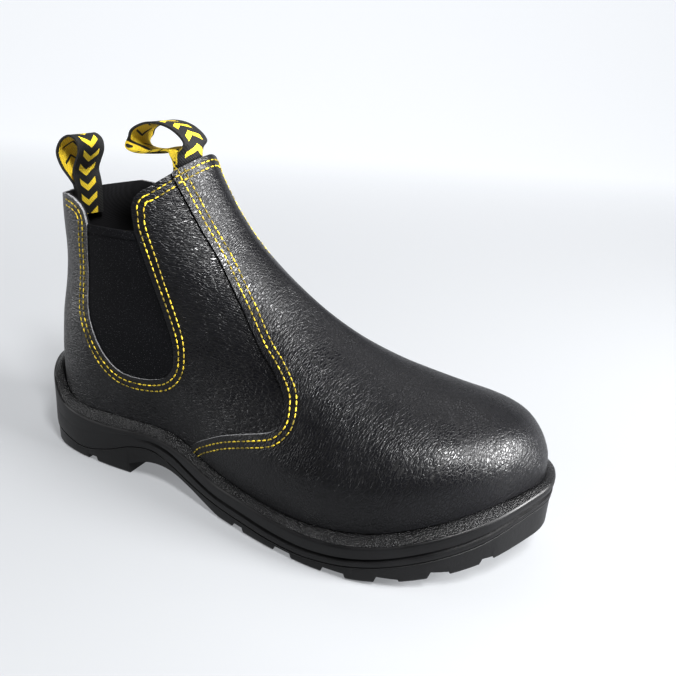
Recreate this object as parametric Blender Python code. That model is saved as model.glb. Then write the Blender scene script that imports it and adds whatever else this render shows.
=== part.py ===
"""Side gore work boot for the right foot, in metres.

+X runs from heel to toe, +Y to the inner side of the foot, +Z up.
The origin is on the floor, in the middle of the heel's tread.
"""

from collections import namedtuple

import bmesh
import bpy
import numpy as np

# Sole: reaches are measured forward from the back of the heel
SOLE_LENGTH = 0.300
BALL_WIDTH = 0.115
HEEL_WIDTH = 0.078
HEEL_TREAD_MIDDLE = 0.034
HEEL_BREAST = 0.077
FOREFOOT_LENGTH = 0.152
TREAD_START = SOLE_LENGTH - FOREFOOT_LENGTH
SPRING_LENGTH = 0.082
SPRING_START = SOLE_LENGTH - SPRING_LENGTH
TOE_SPRING = 0.018
ARCH_HEIGHT = 0.012
SOLE_HEIGHT = 0.033
SEAT_HEIGHT = 0.026
HEEL_RIM = 0.0042
BALL_RIM = 0.0068
BEAD_RADIUS = 0.0014
GROOVE_DEPTH = 0.0018
GROOVE_HALF = 0.0011
SPLIT_INSET = 0.0010
TREAD_BEVEL = 0.0014
BACK_BEVEL = 0.0030
SPRING_CURVE = 1.4
LUG_DEPTH = 0.0035
CHANNEL_SLOPE = 0.0012
CENTRE_RIB = 0.012
# Shares of the sole's length where its width and side change, and over how far
BALL_START = 0.30
BALL_RUN = 0.30
RIM_START = 0.25
RIM_RUN = 0.30
GROOVE_START = 0.27
GROOVE_RUN = 0.08
BACK_RUN = 0.08

# Upper
TOE_HEIGHT = 0.0785
COLLAR_BACK_HEIGHT = 0.148
COLLAR_RISE = 0.027
COLLAR_FRONT_HEIGHT = COLLAR_BACK_HEIGHT + COLLAR_RISE
COLLAR_FRONT_REACH = 0.102
HEEL_BACK_REACH = 0.0170
TOE_FRONT_REACH = 0.2935
SHAFT_WIDTH = 0.073
RIDGE_SHIFT = 0.006
FOOT_TOP = 0.080
SHAFT_START = 0.125
SHAFT_CREST = 0.60
SHAFT_POWER = 2.1
BODY_POWER = 2.4
BODY_BLEND = 0.004
FLANK_SWELL = 0.05
FLANK_TOP = 0.60
HEEL_BASE = 0.40
HEEL_RUN = 0.40
FILL_BACK = 0.20
FILL_FRONT = 0.30
BENT_SLICES = 11.0
WALL = 0.0026

# Side opening, and the pieces laid on or set into the upper
GORE_REACH = 0.0480
GORE_WIDTH = 0.0585
GORE_BOTTOM = 0.0597
COLLAR_DROP = 0.0098
GORE_HEIGHT = COLLAR_BACK_HEIGHT - COLLAR_DROP - GORE_BOTTOM
GORE_RECESS = 0.0008
GORE_THICKNESS = 0.0014
PANEL = 0.0014
STRIP_WIDTH = 0.015
STRIP_THICKNESS = 0.0010
INSOLE_THICKNESS = 0.0045
STRAP_WIDTH = 0.020
STRAP_THICKNESS = 0.0011
STRAP_TUCK = 0.014
BACK_LOOP_HEIGHT = 0.030
BACK_LOOP_DEPTH = 0.0165
FRONT_LOOP_HEIGHT = 0.0150
FRONT_LOOP_DEPTH = 0.0365

# Clearance between pieces that touch, and how far cutters reach past the boot
GAP = 0.0003
BEYOND = 0.030

# Facets: stations run heel to toe on each side of a loop
STATIONS = 26
STRAP_STEPS = 4

Station = namedtuple("Station", "reach outer inner")
# Shares: reach of the sole's length, the sides of half its local width
PLAN = (
    Station(0.00, 0.000, 0.000),
    Station(0.02, -0.460, 0.460),
    Station(0.06, -0.785, 0.775),
    Station(0.12, -0.955, 0.945),
    Station(0.20, -1.018, 0.975),
    Station(0.30, -1.018, 0.909),
    Station(0.42, -1.011, 0.690),
    Station(0.55, -1.020, 0.680),
    Station(0.68, -1.108, 0.883),
    Station(0.78, -1.071, 0.892),
    Station(0.86, -0.913, 0.830),
    Station(0.93, -0.631, 0.736),
    Station(0.98, -0.235, 0.468),
    Station(1.00, 0.070, 0.070),
)

Side = namedtuple("Side", "reach split groove bead rim")
# Shares: reach of the sole's length, heights of the sole's height
SIDES = (
    Side(0.000, 0.38, 0.85, 1.42, 1.68),
    Side(0.045, 0.35, 0.72, 1.24, 1.44),
    Side(0.085, 0.29, 0.60, 0.93, 1.10),
    Side(0.140, 0.21, 0.55, 0.81, 0.98),
    Side(0.210, 0.35, 0.62, 0.79, 0.99),
    Side(0.265, 0.54, 0.72, 0.82, 1.00),
    Side(0.310, 0.59, 0.73, 0.83, 1.00),
    Side(0.360, 0.46, 0.66, 0.80, 0.95),
    Side(0.400, 0.34, 0.53, 0.73, 0.86),
    Side(0.460, 0.24, 0.39, 0.60, 0.73),
    Side(0.530, 0.20, 0.35, 0.56, 0.65),
    Side(0.660, 0.16, 0.29, 0.50, 0.62),
    Side(0.720, 0.21, 0.33, 0.53, 0.67),
    Side(0.780, 0.32, 0.44, 0.63, 0.78),
    Side(0.855, 0.51, 0.64, 0.83, 1.00),
    Side(0.925, 0.73, 0.86, 1.05, 1.22),
    Side(0.970, 0.93, 1.05, 1.20, 1.31),
    Side(1.000, 1.04, 1.16, 1.30, 1.35),
)

Seat = namedtuple("Seat", "reach height")
# Shares: reach of the sole's length, height of the heel seat
SEATS = (
    Seat(0.00, 1.00),
    Seat(0.20, 1.00),
    Seat(0.32, 0.97),
    Seat(0.48, 0.62),
    Seat(0.60, 0.52),
    Seat(0.72, 0.58),
    Seat(0.86, 0.92),
    Seat(0.93, 1.14),
    Seat(1.00, 1.44),
)

Arch = namedtuple("Arch", "run height")
# Shares: run from the heel breast to the forefoot's tread, height of the arch
ARCH = (
    Arch(0.00, 0.55),
    Arch(0.19, 0.95),
    Arch(0.40, 1.00),
    Arch(0.61, 0.69),
    Arch(0.78, 0.38),
    Arch(0.87, 0.22),
    Arch(1.00, 0.00),
)

Slice = namedtuple("Slice", "back run climb")
# Shares: back of the collar's height at the heel, run from collar to toe tip,
# climb to the toe's height up to 1 and on to the collar's front up to 2
SLICES = (
    Slice(0.400, 0.995, 0.675),
    Slice(0.432, 0.979, 0.764),
    Slice(0.466, 0.943, 0.870),
    Slice(0.500, 0.893, 0.932),
    Slice(0.534, 0.830, 0.971),
    Slice(0.568, 0.752, 0.994),
    Slice(0.602, 0.668, 1.022),
    Slice(0.636, 0.574, 1.063),
    Slice(0.669, 0.480, 1.130),
    Slice(0.703, 0.386, 1.221),
    Slice(0.743, 0.298, 1.326),
    Slice(0.784, 0.225, 1.428),
    Slice(0.824, 0.162, 1.534),
    Slice(0.865, 0.105, 1.658),
    Slice(0.909, 0.058, 1.785),
    Slice(0.953, 0.021, 1.910),
    Slice(0.993, 0.000, 2.000),
    Slice(1.034, -0.024, 2.080),
)
TIP_CLIMB = 0.560

Heel = namedtuple("Heel", "height reach")
# Shares: height of the collar's back, reach of the leather behind the ankle
HEEL_CURVE = (
    Heel(0.15, 0.42),
    Heel(0.38, 0.48),
    Heel(0.47, 0.56),
    Heel(0.60, 0.68),
    Heel(0.71, 0.76),
    Heel(0.82, 0.85),
    Heel(0.93, 0.93),
    Heel(1.05, 1.05),
)

Bulk = namedtuple("Bulk", "run power crest waist shift")
# Shares of the run from heel to toe: how square a cross-section is, how sharp
# its crest, the height where its sides start to turn in, and how far its ridge
# lies to the inner side
BULKS = (
    Bulk(0.00, 2.4, 0.00, 0.36, 0.00),
    Bulk(0.25, 2.2, 0.10, 0.37, 0.30),
    Bulk(0.45, 1.7, 0.50, 0.38, 0.60),
    Bulk(0.60, 1.8, 0.45, 0.38, 0.85),
    Bulk(0.75, 2.1, 0.20, 0.38, 1.00),
    Bulk(0.90, 2.4, 0.10, 0.52, 0.75),
    Bulk(1.00, 2.4, 0.05, 0.60, 0.45),
)

Edge = namedtuple("Edge", "along up")
# Shares of the side opening's width and height, from its back corner round
GORE_EDGE = (
    Edge(0.065, 1.000),
    Edge(0.012, 0.743),
    Edge(0.002, 0.453),
    Edge(0.096, 0.259),
    Edge(0.180, 0.150),
    Edge(0.300, 0.061),
    Edge(0.453, 0.008),
    Edge(0.653, 0.004),
    Edge(0.838, 0.031),
    Edge(0.942, 0.080),
    Edge(0.992, 0.143),
    Edge(0.995, 0.218),
    Edge(0.968, 0.315),
    Edge(0.897, 0.442),
    Edge(0.732, 0.738),
    Edge(0.573, 1.004),
)
# The same shares, round the rounded corner of the front quarter
TAB_EDGE = (
    Edge(0.544, 1.108),
    Edge(0.532, 1.164),
    Edge(0.552, 1.222),
    Edge(0.598, 1.264),
    Edge(0.656, 1.293),
)

# Shares of the collar's drop to the opening's corner, back from that corner
COLLAR_EDGE = (
    Edge(1.60, 1.35),
    Edge(0.95, 1.25),
    Edge(0.45, 1.00),
    Edge(0.15, 0.65),
)

# Shares of the run from collar front to toe, and of the collar's front height
VAMP_EDGE = (
    Edge(-0.084, 1.063),
    Edge(-0.063, 1.017),
    Edge(-0.041, 0.966),
    Edge(-0.026, 0.931),
    Edge(0.043, 0.815),
    Edge(0.121, 0.708),
    Edge(0.182, 0.622),
    Edge(0.257, 0.523),
    Edge(0.325, 0.464),
    Edge(0.370, 0.418),
    Edge(0.386, 0.378),
    Edge(0.386, 0.354),
    Edge(0.372, 0.333),
    Edge(0.351, 0.320),
    Edge(0.279, 0.292),
    Edge(0.215, 0.263),
    Edge(0.158, 0.227),
    Edge(0.112, 0.192),
    Edge(0.088, 0.158),
)

Notch = namedtuple("Notch", "reach width lean")
# Shares of the sole's length: side notches between the forefoot's lugs
NOTCHES = (
    Notch(0.511, 0.028, 0.10),
    Notch(0.606, 0.038, 0.10),
    Notch(0.703, 0.044, 0.08),
    Notch(0.796, 0.040, 0.04),
    Notch(0.875, 0.032, 0.00),
    Notch(0.934, 0.020, 0.00),
)
HEEL_NOTCH = Notch(0.168, 0.028, 0.00)

# Shares of a pull loop's depth and height, in the order of its webbing
BACK_LOOP = (
    Edge(0.00, 0.09),
    Edge(-0.12, 0.22),
    Edge(-0.40, 0.42),
    Edge(-0.57, 0.66),
    Edge(-0.39, 0.88),
    Edge(-0.01, 1.00),
    Edge(0.31, 0.92),
    Edge(0.37, 0.74),
    Edge(0.22, 0.54),
    Edge(0.08, 0.36),
    Edge(0.08, 0.20),
    Edge(0.09, 0.09),
)
FRONT_LOOP = (
    Edge(0.00, 0.00),
    Edge(-0.02, 0.26),
    Edge(-0.10, 0.60),
    Edge(-0.28, 0.88),
    Edge(-0.50, 1.00),
    Edge(-0.74, 0.95),
    Edge(-0.96, 0.68),
    Edge(-0.99, 0.34),
    Edge(-0.84, 0.02),
    Edge(-0.60, -0.04),
    Edge(-0.36, 0.10),
    Edge(-0.17, 0.14),
    Edge(-0.07, -0.10),
    Edge(-0.05, -0.40),
)

FINISHES = {
    "outsole": ((0.020, 0.020, 0.022), 0.55),
    "midsole": ((0.022, 0.022, 0.024), 0.50),
    "insole": ((0.060, 0.060, 0.064), 0.90),
    "upper": ((0.012, 0.012, 0.014), 0.35),
    "vamp": ((0.012, 0.012, 0.014), 0.35),
    "heel_strip": ((0.010, 0.010, 0.012), 0.40),
    "gore_lateral": ((0.010, 0.011, 0.014), 0.85),
    "gore_medial": ((0.010, 0.011, 0.014), 0.85),
    "pull_loop_back": ((0.020, 0.020, 0.020), 0.80),
    "pull_loop_front": ((0.020, 0.020, 0.020), 0.80),
}


def column(rows, name):
    """One named column of a table, as an array."""
    return np.array([getattr(row, name) for row in rows], float)


def ease(value):
    """Rise smoothly from 0 to 1 as value does."""
    value = np.clip(value, 0.0, 1.0)
    return value * value * (3.0 - 2.0 * value)


def through(knots, values, at):
    """Read a smooth curve through the values at their knots."""
    step = np.diff(knots)
    rise = np.diff(values) / step
    slope = np.concatenate([
        rise[:1],
        (rise[:-1] * step[1:] + rise[1:] * step[:-1]) / (step[:-1] + step[1:]),
        rise[-1:],
    ])
    at = np.clip(at, knots[0], knots[-1])
    spot = np.clip(np.searchsorted(knots, at, side="right") - 1, 0, len(step) - 1)
    part = (at - knots[spot]) / step[spot]
    here, after = values[spot], values[spot + 1]
    bend_here, bend_after = slope[spot] * step[spot], slope[spot + 1] * step[spot]
    lift = part * part * (3.0 - 2.0 * part)
    return (here + (after - here) * lift
            + bend_here * part * (1.0 - part) ** 2
            - bend_after * part ** 2 * (1.0 - part))


def half_width(share):
    """Half the sole's named width at a share of its length."""
    return 0.5 * (HEEL_WIDTH + (BALL_WIDTH - HEEL_WIDTH) * ease((share - BALL_START) / BALL_RUN))


def plan(share, side):
    """Y of the sole's outline at a share of its length."""
    share = np.clip(share, 0.0, 1.0)
    turn = np.arccos(1.0 - 2.0 * share)
    knots = np.arccos(1.0 - 2.0 * column(PLAN, "reach"))
    shares = column(PLAN, "outer" if side < 0 else "inner")
    return half_width(share) * through(knots, shares, turn)


def side_height(reach, name):
    """Height of a named line round the sole's side at a reach."""
    return SOLE_HEIGHT * through(column(SIDES, "reach"), column(SIDES, name), reach / SOLE_LENGTH)


def seat_height(reach):
    """Height of the surface that the upper and insole stand on."""
    return SEAT_HEIGHT * through(column(SEATS, "reach"), column(SEATS, "height"), reach / SOLE_LENGTH)


def floor_height(reach):
    """Height of the tread's underside, without the arch."""
    run = np.clip((reach - SPRING_START) / (SOLE_LENGTH - SPRING_START), 0.0, 1.0)
    return TOE_SPRING * run ** SPRING_CURVE


def ridge_height(climb):
    """Height of the ridge from toe to collar at a climb between 0 and 2."""
    toe = np.minimum(climb, 1.0) * TOE_HEIGHT
    shaft = np.maximum(climb - 1.0, 0.0) * (COLLAR_FRONT_HEIGHT - TOE_HEIGHT)
    return toe + shaft


def ridge_at(reach):
    """Height of the ridge above a reach, carried on in a line behind the collar."""
    runs = np.append(column(SLICES, "run")[::-1], 1.0)
    climbs = np.append(column(SLICES, "climb")[::-1], TIP_CLIMB)
    reaches = COLLAR_FRONT_REACH + runs * (TOE_FRONT_REACH - COLLAR_FRONT_REACH)
    heights = ridge_height(climbs)
    slope = (heights[0] - heights[1]) / (reaches[1] - reaches[0])
    beyond = np.maximum(reaches[0] - reach, 0.0)
    return through(reaches, heights, reach) + slope * beyond


def back_reach(height):
    """Reach of the leather at the heel's centre at a height."""
    heights = column(HEEL_CURVE, "height") * COLLAR_BACK_HEIGHT
    return HEEL_BACK_REACH * through(heights, column(HEEL_CURVE, "reach"), height)


def foot_side(reach, height, side):
    """Y of the foot part of the upper at a reach and a height."""
    base = back_reach(HEEL_BASE * COLLAR_BACK_HEIGHT)
    lean = (back_reach(height) - base) * (1.0 - ease(reach / (HEEL_RUN * SOLE_LENGTH)))
    share = np.clip((reach - lean - base) / (TOE_FRONT_REACH - base), 0.0, 1.0)
    width = half_width(share)
    rim = HEEL_RIM + (BALL_RIM - HEEL_RIM) * ease((share - RIM_START) / RIM_RUN)
    flank = plan(share, side) * (1.0 - rim / width)
    climb = (height - side_height(reach, "rim")) / FOOT_TOP
    flank = flank * (1.0 + FLANK_SWELL * ease(climb / FLANK_TOP ** 2))
    oval = np.clip(1.0 - np.abs(2.0 * share - 1.0) ** BODY_POWER, 0.0, 1.0)
    body = side * 0.5 * SHAFT_WIDTH * np.sqrt(oval)
    spread = np.sqrt((body - flank) ** 2 + BODY_BLEND ** 2)
    full = 0.5 * (body + flank + side * spread)
    fill = ease(climb / FLANK_TOP) * ease((1.0 - share) / FILL_FRONT) * ease(share / FILL_BACK)
    filled = flank + (full - flank) * fill
    run = column(BULKS, "run")
    power = through(run, column(BULKS, "power"), share)
    waist = TOE_HEIGHT * through(run, column(BULKS, "waist"), share)
    shift = RIDGE_SHIFT * through(run, column(BULKS, "shift"), share)
    top = ridge_at(reach)
    turn = np.clip((height - waist) / np.maximum(top - waist, 1e-6), 0.0, 1.0)
    crest = through(run, column(BULKS, "crest"), share)
    round_off = np.clip(1.0 - turn ** power, 0.0, 1.0)
    hold = (1.0 - crest) * np.sqrt(round_off) + crest * round_off
    return shift + (filled - shift) * hold


def slice_loop(back, front, bend, stations):
    """Points of one loop round the upper, outer side first, from heel to toe and back."""
    shares = 0.5 * (1.0 - np.cos(np.linspace(0.0, np.pi, stations + 1)))
    reach = back[0] + (front[0] - back[0]) * shares
    rim_back = side_height(back_reach(back[1]), "rim")
    rim_front = side_height(TOE_FRONT_REACH, "rim")
    low = back_reach(rim_back) + (TOE_FRONT_REACH - back_reach(rim_back)) * shares
    dip = side_height(low, "rim") - (rim_back + (rim_front - rim_back) * shares)
    height = back[1] + (front[1] - back[1]) * shares + bend * dip
    return reach, height, shares


def ring(reach, height, shares):
    """Both sides of the upper's surface along one slice, as a closed loop of points."""
    blend = ease((height - FOOT_TOP) / (SHAFT_START - FOOT_TOP))
    oval = np.clip(1.0 - np.abs(2.0 * shares - 1.0) ** SHAFT_POWER, 0.0, 1.0)
    crest = np.where(shares < 0.5, 0.0, SHAFT_CREST)
    body = 0.5 * SHAFT_WIDTH * ((1.0 - crest) * np.sqrt(oval) + crest * oval)
    sides = []
    for side in (-1, 1):
        flank = foot_side(reach, height, side)
        flank[0] = 0.0
        ridge = flank[-1]
        shaft = ridge * shares + side * body
        sides.append(flank * (1.0 - blend) + shaft * blend)
    outer, inner = sides
    reach_loop = np.concatenate([reach, reach[-2:0:-1]])
    width_loop = np.concatenate([outer, inner[-2:0:-1]])
    height_loop = np.concatenate([height, height[-2:0:-1]])
    return np.stack([reach_loop, width_loop, height_loop], axis=1)


def upper_surface(stations=STATIONS):
    """Rows of points over the upper's outside, from the seat to above the collar."""
    rim_back = side_height(back_reach(SIDES[0].rim * SOLE_HEIGHT), "rim")
    tip = (TOE_FRONT_REACH, ridge_height(TIP_CLIMB))
    shares = 0.5 * (1.0 - np.cos(np.linspace(0.0, np.pi, stations + 1)))
    rows = []
    start = back_reach(rim_back)
    reach = start + (tip[0] - start) * shares
    rows.append(ring(reach, seat_height(reach), shares))
    rows.append(ring(reach, side_height(reach, "rim"), shares))
    for number, row in enumerate(SLICES, start=1):
        high = row.back * COLLAR_BACK_HEIGHT
        back = (float(back_reach(high)), high)
        front_reach = COLLAR_FRONT_REACH + row.run * (TOE_FRONT_REACH - COLLAR_FRONT_REACH)
        front = (front_reach, float(ridge_height(row.climb)))
        bend = max(0.0, 1.0 - number / BENT_SLICES) ** 2
        rows.append(ring(*slice_loop(back, front, bend, stations)))
    return np.array(rows)


def normals(grid):
    """Outward normals of a grid of closed loops stacked upwards."""
    around = np.roll(grid, -1, axis=1) - np.roll(grid, 1, axis=1)
    upward = np.gradient(grid, axis=0)
    normal = np.cross(around, upward)
    return normal / np.linalg.norm(normal, axis=2, keepdims=True)


def outline(inset, heights, back_extra=0.0, stations=STATIONS):
    """A closed loop on the sole's outline, moved inwards by inset."""
    shares = 0.5 * (1.0 - np.cos(np.linspace(0.0, np.pi, stations + 1)))
    reach = np.concatenate([shares, shares[-2:0:-1]]) * SOLE_LENGTH
    width = np.concatenate([plan(shares, -1), plan(shares, 1)[-2:0:-1]])
    flat = np.stack([reach, width], axis=1)
    along = np.roll(flat, -1, axis=0) - np.roll(flat, 1, axis=0)
    along /= np.linalg.norm(along, axis=1, keepdims=True)
    outward = np.stack([along[:, 1], -along[:, 0]], axis=1)
    depth = inset + back_extra * (1.0 - ease(reach / (BACK_RUN * SOLE_LENGTH)))
    moved = flat - outward * depth[:, None]
    return np.column_stack([moved, heights(reach)])


def finish_for(name):
    """A material with the piece's colour and roughness."""
    colour, roughness = FINISHES[name]
    material = bpy.data.materials.new(name)
    material.use_nodes = True
    shader = material.node_tree.nodes["Principled BSDF"]
    shader.inputs["Base Color"].default_value = (*colour, 1.0)
    shader.inputs["Roughness"].default_value = roughness
    shader.inputs["Metallic"].default_value = 0.0
    return material


def add_object(name, shape, material=None):
    """Turn a bmesh into a named object, with its reaches counted from the origin."""
    bmesh.ops.triangulate(shape, faces=[face for face in shape.faces if len(face.verts) > 4])
    mesh = bpy.data.meshes.new(name)
    shape.to_mesh(mesh)
    shape.free()
    piece = bpy.data.objects.new(name, mesh)
    piece.location = (-HEEL_TREAD_MIDDLE, 0.0, 0.0)
    bpy.context.collection.objects.link(piece)
    if material is not None:
        mesh.materials.append(material)
    return piece


def cut_diagonally(shape, corners):
    """Add a four-cornered patch as two triangles that always split the same way."""
    shape.faces.new((corners[0], corners[1], corners[2]))
    shape.faces.new((corners[0], corners[2], corners[3]))


def add_loops(shape, loops, closed=False):
    """Skin a stack of closed loops that run outer side first, bottom to top outside."""
    rows = [[shape.verts.new(point) for point in loop] for loop in loops]
    pairs = list(zip(rows, rows[1:]))
    if closed:
        pairs.append((rows[-1], rows[0]))
    count = len(rows[0])
    for low, high in pairs:
        for index in range(count):
            after = (index + 1) % count
            if index < count // 2:
                cut_diagonally(shape, (low[index], low[after], high[after], high[index]))
            else:
                cut_diagonally(shape, (low[after], high[after], high[index], low[index]))
    return rows


def cap(shape, loop, upwards):
    """Close a loop with strips that join its outer side to its inner side."""
    half = len(loop) // 2
    outer = loop[:half + 1]
    inner = [loop[0]] + loop[:half - 1:-1]
    for index in range(half):
        strip = [outer[index], outer[index + 1], inner[index + 1], inner[index]]
        corners = list(dict.fromkeys(strip))
        if not upwards:
            corners.reverse()
        shape.faces.new(corners)


def shell(outside, inside):
    """A closed wall between two stacks of loops, open at both ends."""
    shape = bmesh.new()
    add_loops(shape, list(outside) + list(inside[::-1]), closed=True)
    return shape


def prism(name, outline_points, low, high):
    """A hidden cutter: an outline in reach and height, extruded across the boot."""
    shape = bmesh.new()
    corners = [shape.verts.new((reach, low, height)) for reach, height in outline_points]
    face = shape.faces.new(corners)
    sweep = bmesh.ops.extrude_face_region(shape, geom=[face])
    moved = [item for item in sweep["geom"] if isinstance(item, bmesh.types.BMVert)]
    bmesh.ops.translate(shape, verts=moved, vec=(0.0, high - low, 0.0))
    bmesh.ops.recalc_face_normals(shape, faces=shape.faces)
    return hide(add_object(name, shape))


def hide(cutter):
    """Keep a cutter out of the finished boot."""
    cutter.hide_render = True
    cutter.display_type = "WIRE"
    return cutter


def cut(piece, cutter, operation="DIFFERENCE"):
    """Cut a piece with a cutter."""
    modifier = piece.modifiers.new(cutter.name, "BOOLEAN")
    modifier.operation = operation
    modifier.solver = "EXACT"
    modifier.object = cutter


def smooth_path(points, steps):
    """Points along a smooth curve through the given ones."""
    points = np.array(points, float)
    knots = np.arange(len(points), dtype=float)
    at = np.linspace(0.0, knots[-1], (len(points) - 1) * steps + 1)
    return np.column_stack([through(knots, points[:, axis], at) for axis in range(points.shape[1])])


def gore_points(table):
    """Reach and height of a table's shares of the side opening."""
    return [(GORE_REACH + row.along * GORE_WIDTH, GORE_BOTTOM + row.up * GORE_HEIGHT)
            for row in table]


def gore_outline(inset=0.0):
    """The side opening's outline, from its back corner round to its front corner."""
    path = smooth_path(gore_points(GORE_EDGE), 2)
    along = np.gradient(path, axis=0)
    along /= np.linalg.norm(along, axis=1, keepdims=True)
    inward = np.stack([-along[:, 1], along[:, 0]], axis=1)
    return path + inward * inset


def vamp_outline():
    """The vamp's back edge, from above the collar down to below the rim."""
    rows = [(COLLAR_FRONT_REACH + row.along * (TOE_FRONT_REACH - COLLAR_FRONT_REACH),
             row.up * COLLAR_FRONT_HEIGHT) for row in VAMP_EDGE]
    return smooth_path(rows, 2)


def top_line():
    """Everything above the collar and within the side openings, as an outline."""
    gore = [tuple(point) for point in gore_outline()]
    tab = gore_points(TAB_EDGE)
    front = (COLLAR_FRONT_REACH, COLLAR_FRONT_HEIGHT)
    corner = gore[0]
    drop = COLLAR_BACK_HEIGHT - corner[1]
    behind = -BEYOND
    back = [(behind, COLLAR_BACK_HEIGHT), (HEEL_BACK_REACH, COLLAR_BACK_HEIGHT)]
    back += [(corner[0] - row.along * drop, corner[1] + row.up * drop) for row in COLLAR_EDGE]
    rise = front[1] - tab[-1][1]
    ahead = (front[0] + rise, front[1] + 0.9 * rise)
    sky = COLLAR_FRONT_HEIGHT + COLLAR_BACK_HEIGHT
    return back + gore + tab + [front, ahead, (ahead[0], sky), (behind, sky)]


def make_upper(grid, facing, above):
    """Quarters, heel part and lining as one wall."""
    piece = add_object("upper", shell(grid, grid - WALL * facing), finish_for("upper"))
    cut(piece, above)


def overlay_rows(grid):
    """The upper's rows with the lowest one lifted just clear of the rim."""
    rows = grid[1:].copy()
    climb = rows[1] - rows[0]
    rows[0] += climb * (2.0 * GAP / np.linalg.norm(climb, axis=1, keepdims=True))
    return rows


def make_vamp(grid, facing, above):
    """Front panel laid over the quarters."""
    rows = overlay_rows(grid)
    lift = facing[1:]
    shape = shell(rows + (GAP + PANEL) * lift, rows + GAP * lift)
    piece = add_object("vamp", shape, finish_for("vamp"))
    edge = [tuple(point) for point in vamp_outline()]
    ahead = TOE_FRONT_REACH + BEYOND
    area = edge + [(edge[-1][0], 0.0), (ahead, 0.0), (ahead, edge[0][1])]
    cut(piece, prism("vamp_cutter", area, -BALL_WIDTH, BALL_WIDTH), "INTERSECT")
    cut(piece, above)


def make_heel_strip(grid, facing, above):
    """Back stay over the seam of the heel."""
    rows = overlay_rows(grid)
    lift = facing[1:]
    shape = shell(rows + (GAP + STRIP_THICKNESS) * lift, rows + GAP * lift)
    piece = add_object("heel_strip", shape, finish_for("heel_strip"))
    behind, ahead = -BEYOND, 0.5 * COLLAR_FRONT_REACH
    area = [(behind, 0.0), (ahead, 0.0), (ahead, COLLAR_FRONT_HEIGHT), (behind, COLLAR_FRONT_HEIGHT)]
    cutter = prism("strip_cutter", area, -0.5 * STRIP_WIDTH, 0.5 * STRIP_WIDTH)
    cut(piece, cutter, "INTERSECT")
    cut(piece, above)


def make_gores(grid, facing):
    """Elastic panels set into the side openings."""
    edge = [tuple(point) for point in gore_outline(GAP)]
    for name, low, high in (("gore_lateral", -SHAFT_WIDTH, 0.0), ("gore_medial", 0.0, SHAFT_WIDTH)):
        outside = grid - GORE_RECESS * facing
        inside = grid - (GORE_RECESS + GORE_THICKNESS) * facing
        piece = add_object(name, shell(outside, inside), finish_for(name))
        cut(piece, prism(name + "_cutter", edge, low, high), "INTERSECT")


def make_insole(grid, facing):
    """Footbed inside the wall, on the midsole's seat."""
    edge = grid[0] - (WALL + 2.0 * GAP) * facing[0]
    shape = bmesh.new()
    rows = add_loops(shape, [edge, edge + (0.0, 0.0, INSOLE_THICKNESS)])
    cap(shape, rows[0], upwards=False)
    cap(shape, rows[-1], upwards=True)
    add_object("insole", shape, finish_for("insole"))


def midsole_loops(grid, facing):
    """Loops of the midsole from its underside up round the rim and down into the cup."""
    def line(name, lift=0.0):
        return lambda reach: side_height(reach, name) + lift

    reach = outline(0.0, line("rim"))[:, 0]
    fade = ease((reach / SOLE_LENGTH - GROOVE_START) / GROOVE_RUN)
    band = 0.4 * BEAD_RADIUS
    lip = 0.3 * BEAD_RADIUS
    groove = outline(band, line("groove"))
    deep = outline(band + GROOVE_DEPTH, line("groove"))
    cup = grid[:2] + GAP * facing[:2]
    seat = cup[0] - (0.0, 0.0, GAP)
    return [
        outline(SPLIT_INSET, line("split", 0.5 * GAP)),
        outline(band, line("split", 0.5 * GAP + SPLIT_INSET)),
        outline(lip, line("groove", -GROOVE_HALF)),
        groove + (deep - groove) * fade[:, None],
        outline(lip, line("groove", GROOVE_HALF)),
        outline(0.0, line("bead", -0.4 * BEAD_RADIUS), BACK_BEVEL * 0.2),
        outline(0.6 * BEAD_RADIUS, line("bead", 0.8 * BEAD_RADIUS), BACK_BEVEL * 0.6),
        cup[1],
        seat,
    ]


def make_midsole(grid, facing):
    """Foam unit whose cup holds the upper."""
    shape = bmesh.new()
    rows = add_loops(shape, midsole_loops(grid, facing))
    cap(shape, rows[0], upwards=False)
    cap(shape, rows[-1], upwards=True)
    add_object("midsole", shape, finish_for("midsole"))


def arch_cutter():
    """The hollow between the heel's breast and the forefoot's tread."""
    span = TREAD_START - HEEL_BREAST
    rows = [(HEEL_BREAST + row.run * span, row.height * ARCH_HEIGHT) for row in ARCH]
    path = [tuple(point) for point in smooth_path(rows, 2)]
    below = -ARCH_HEIGHT
    area = [(HEEL_BREAST, below)] + path + [(TREAD_START, below)]
    return prism("arch_cutter", area, -BALL_WIDTH, BALL_WIDTH)


def notch_cutter(name, notch, side):
    """A sloped channel from one side of the tread towards its middle rib."""
    middle = notch.reach * SOLE_LENGTH
    width = 0.5 * notch.width * SOLE_LENGTH
    bottom = float(floor_height(np.array(middle)))
    start = 0.5 * CENTRE_RIB
    length = BALL_WIDTH
    shape = bmesh.new()
    corners = []
    for height, half in ((bottom - LUG_DEPTH, width + CHANNEL_SLOPE), (bottom + LUG_DEPTH, width - CHANNEL_SLOPE)):
        for along, across in ((-half, start), (half, start), (half, length), (-half, length)):
            slant = notch.lean * (across - start)
            corners.append(shape.verts.new((middle + along + slant, side * across, height)))
    for face in ((0, 3, 2, 1), (4, 5, 6, 7), (0, 1, 5, 4), (1, 2, 6, 5), (2, 3, 7, 6), (3, 0, 4, 7)):
        shape.faces.new([corners[index] for index in face])
    bmesh.ops.recalc_face_normals(shape, faces=shape.faces)
    return hide(add_object(name, shape))


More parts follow.
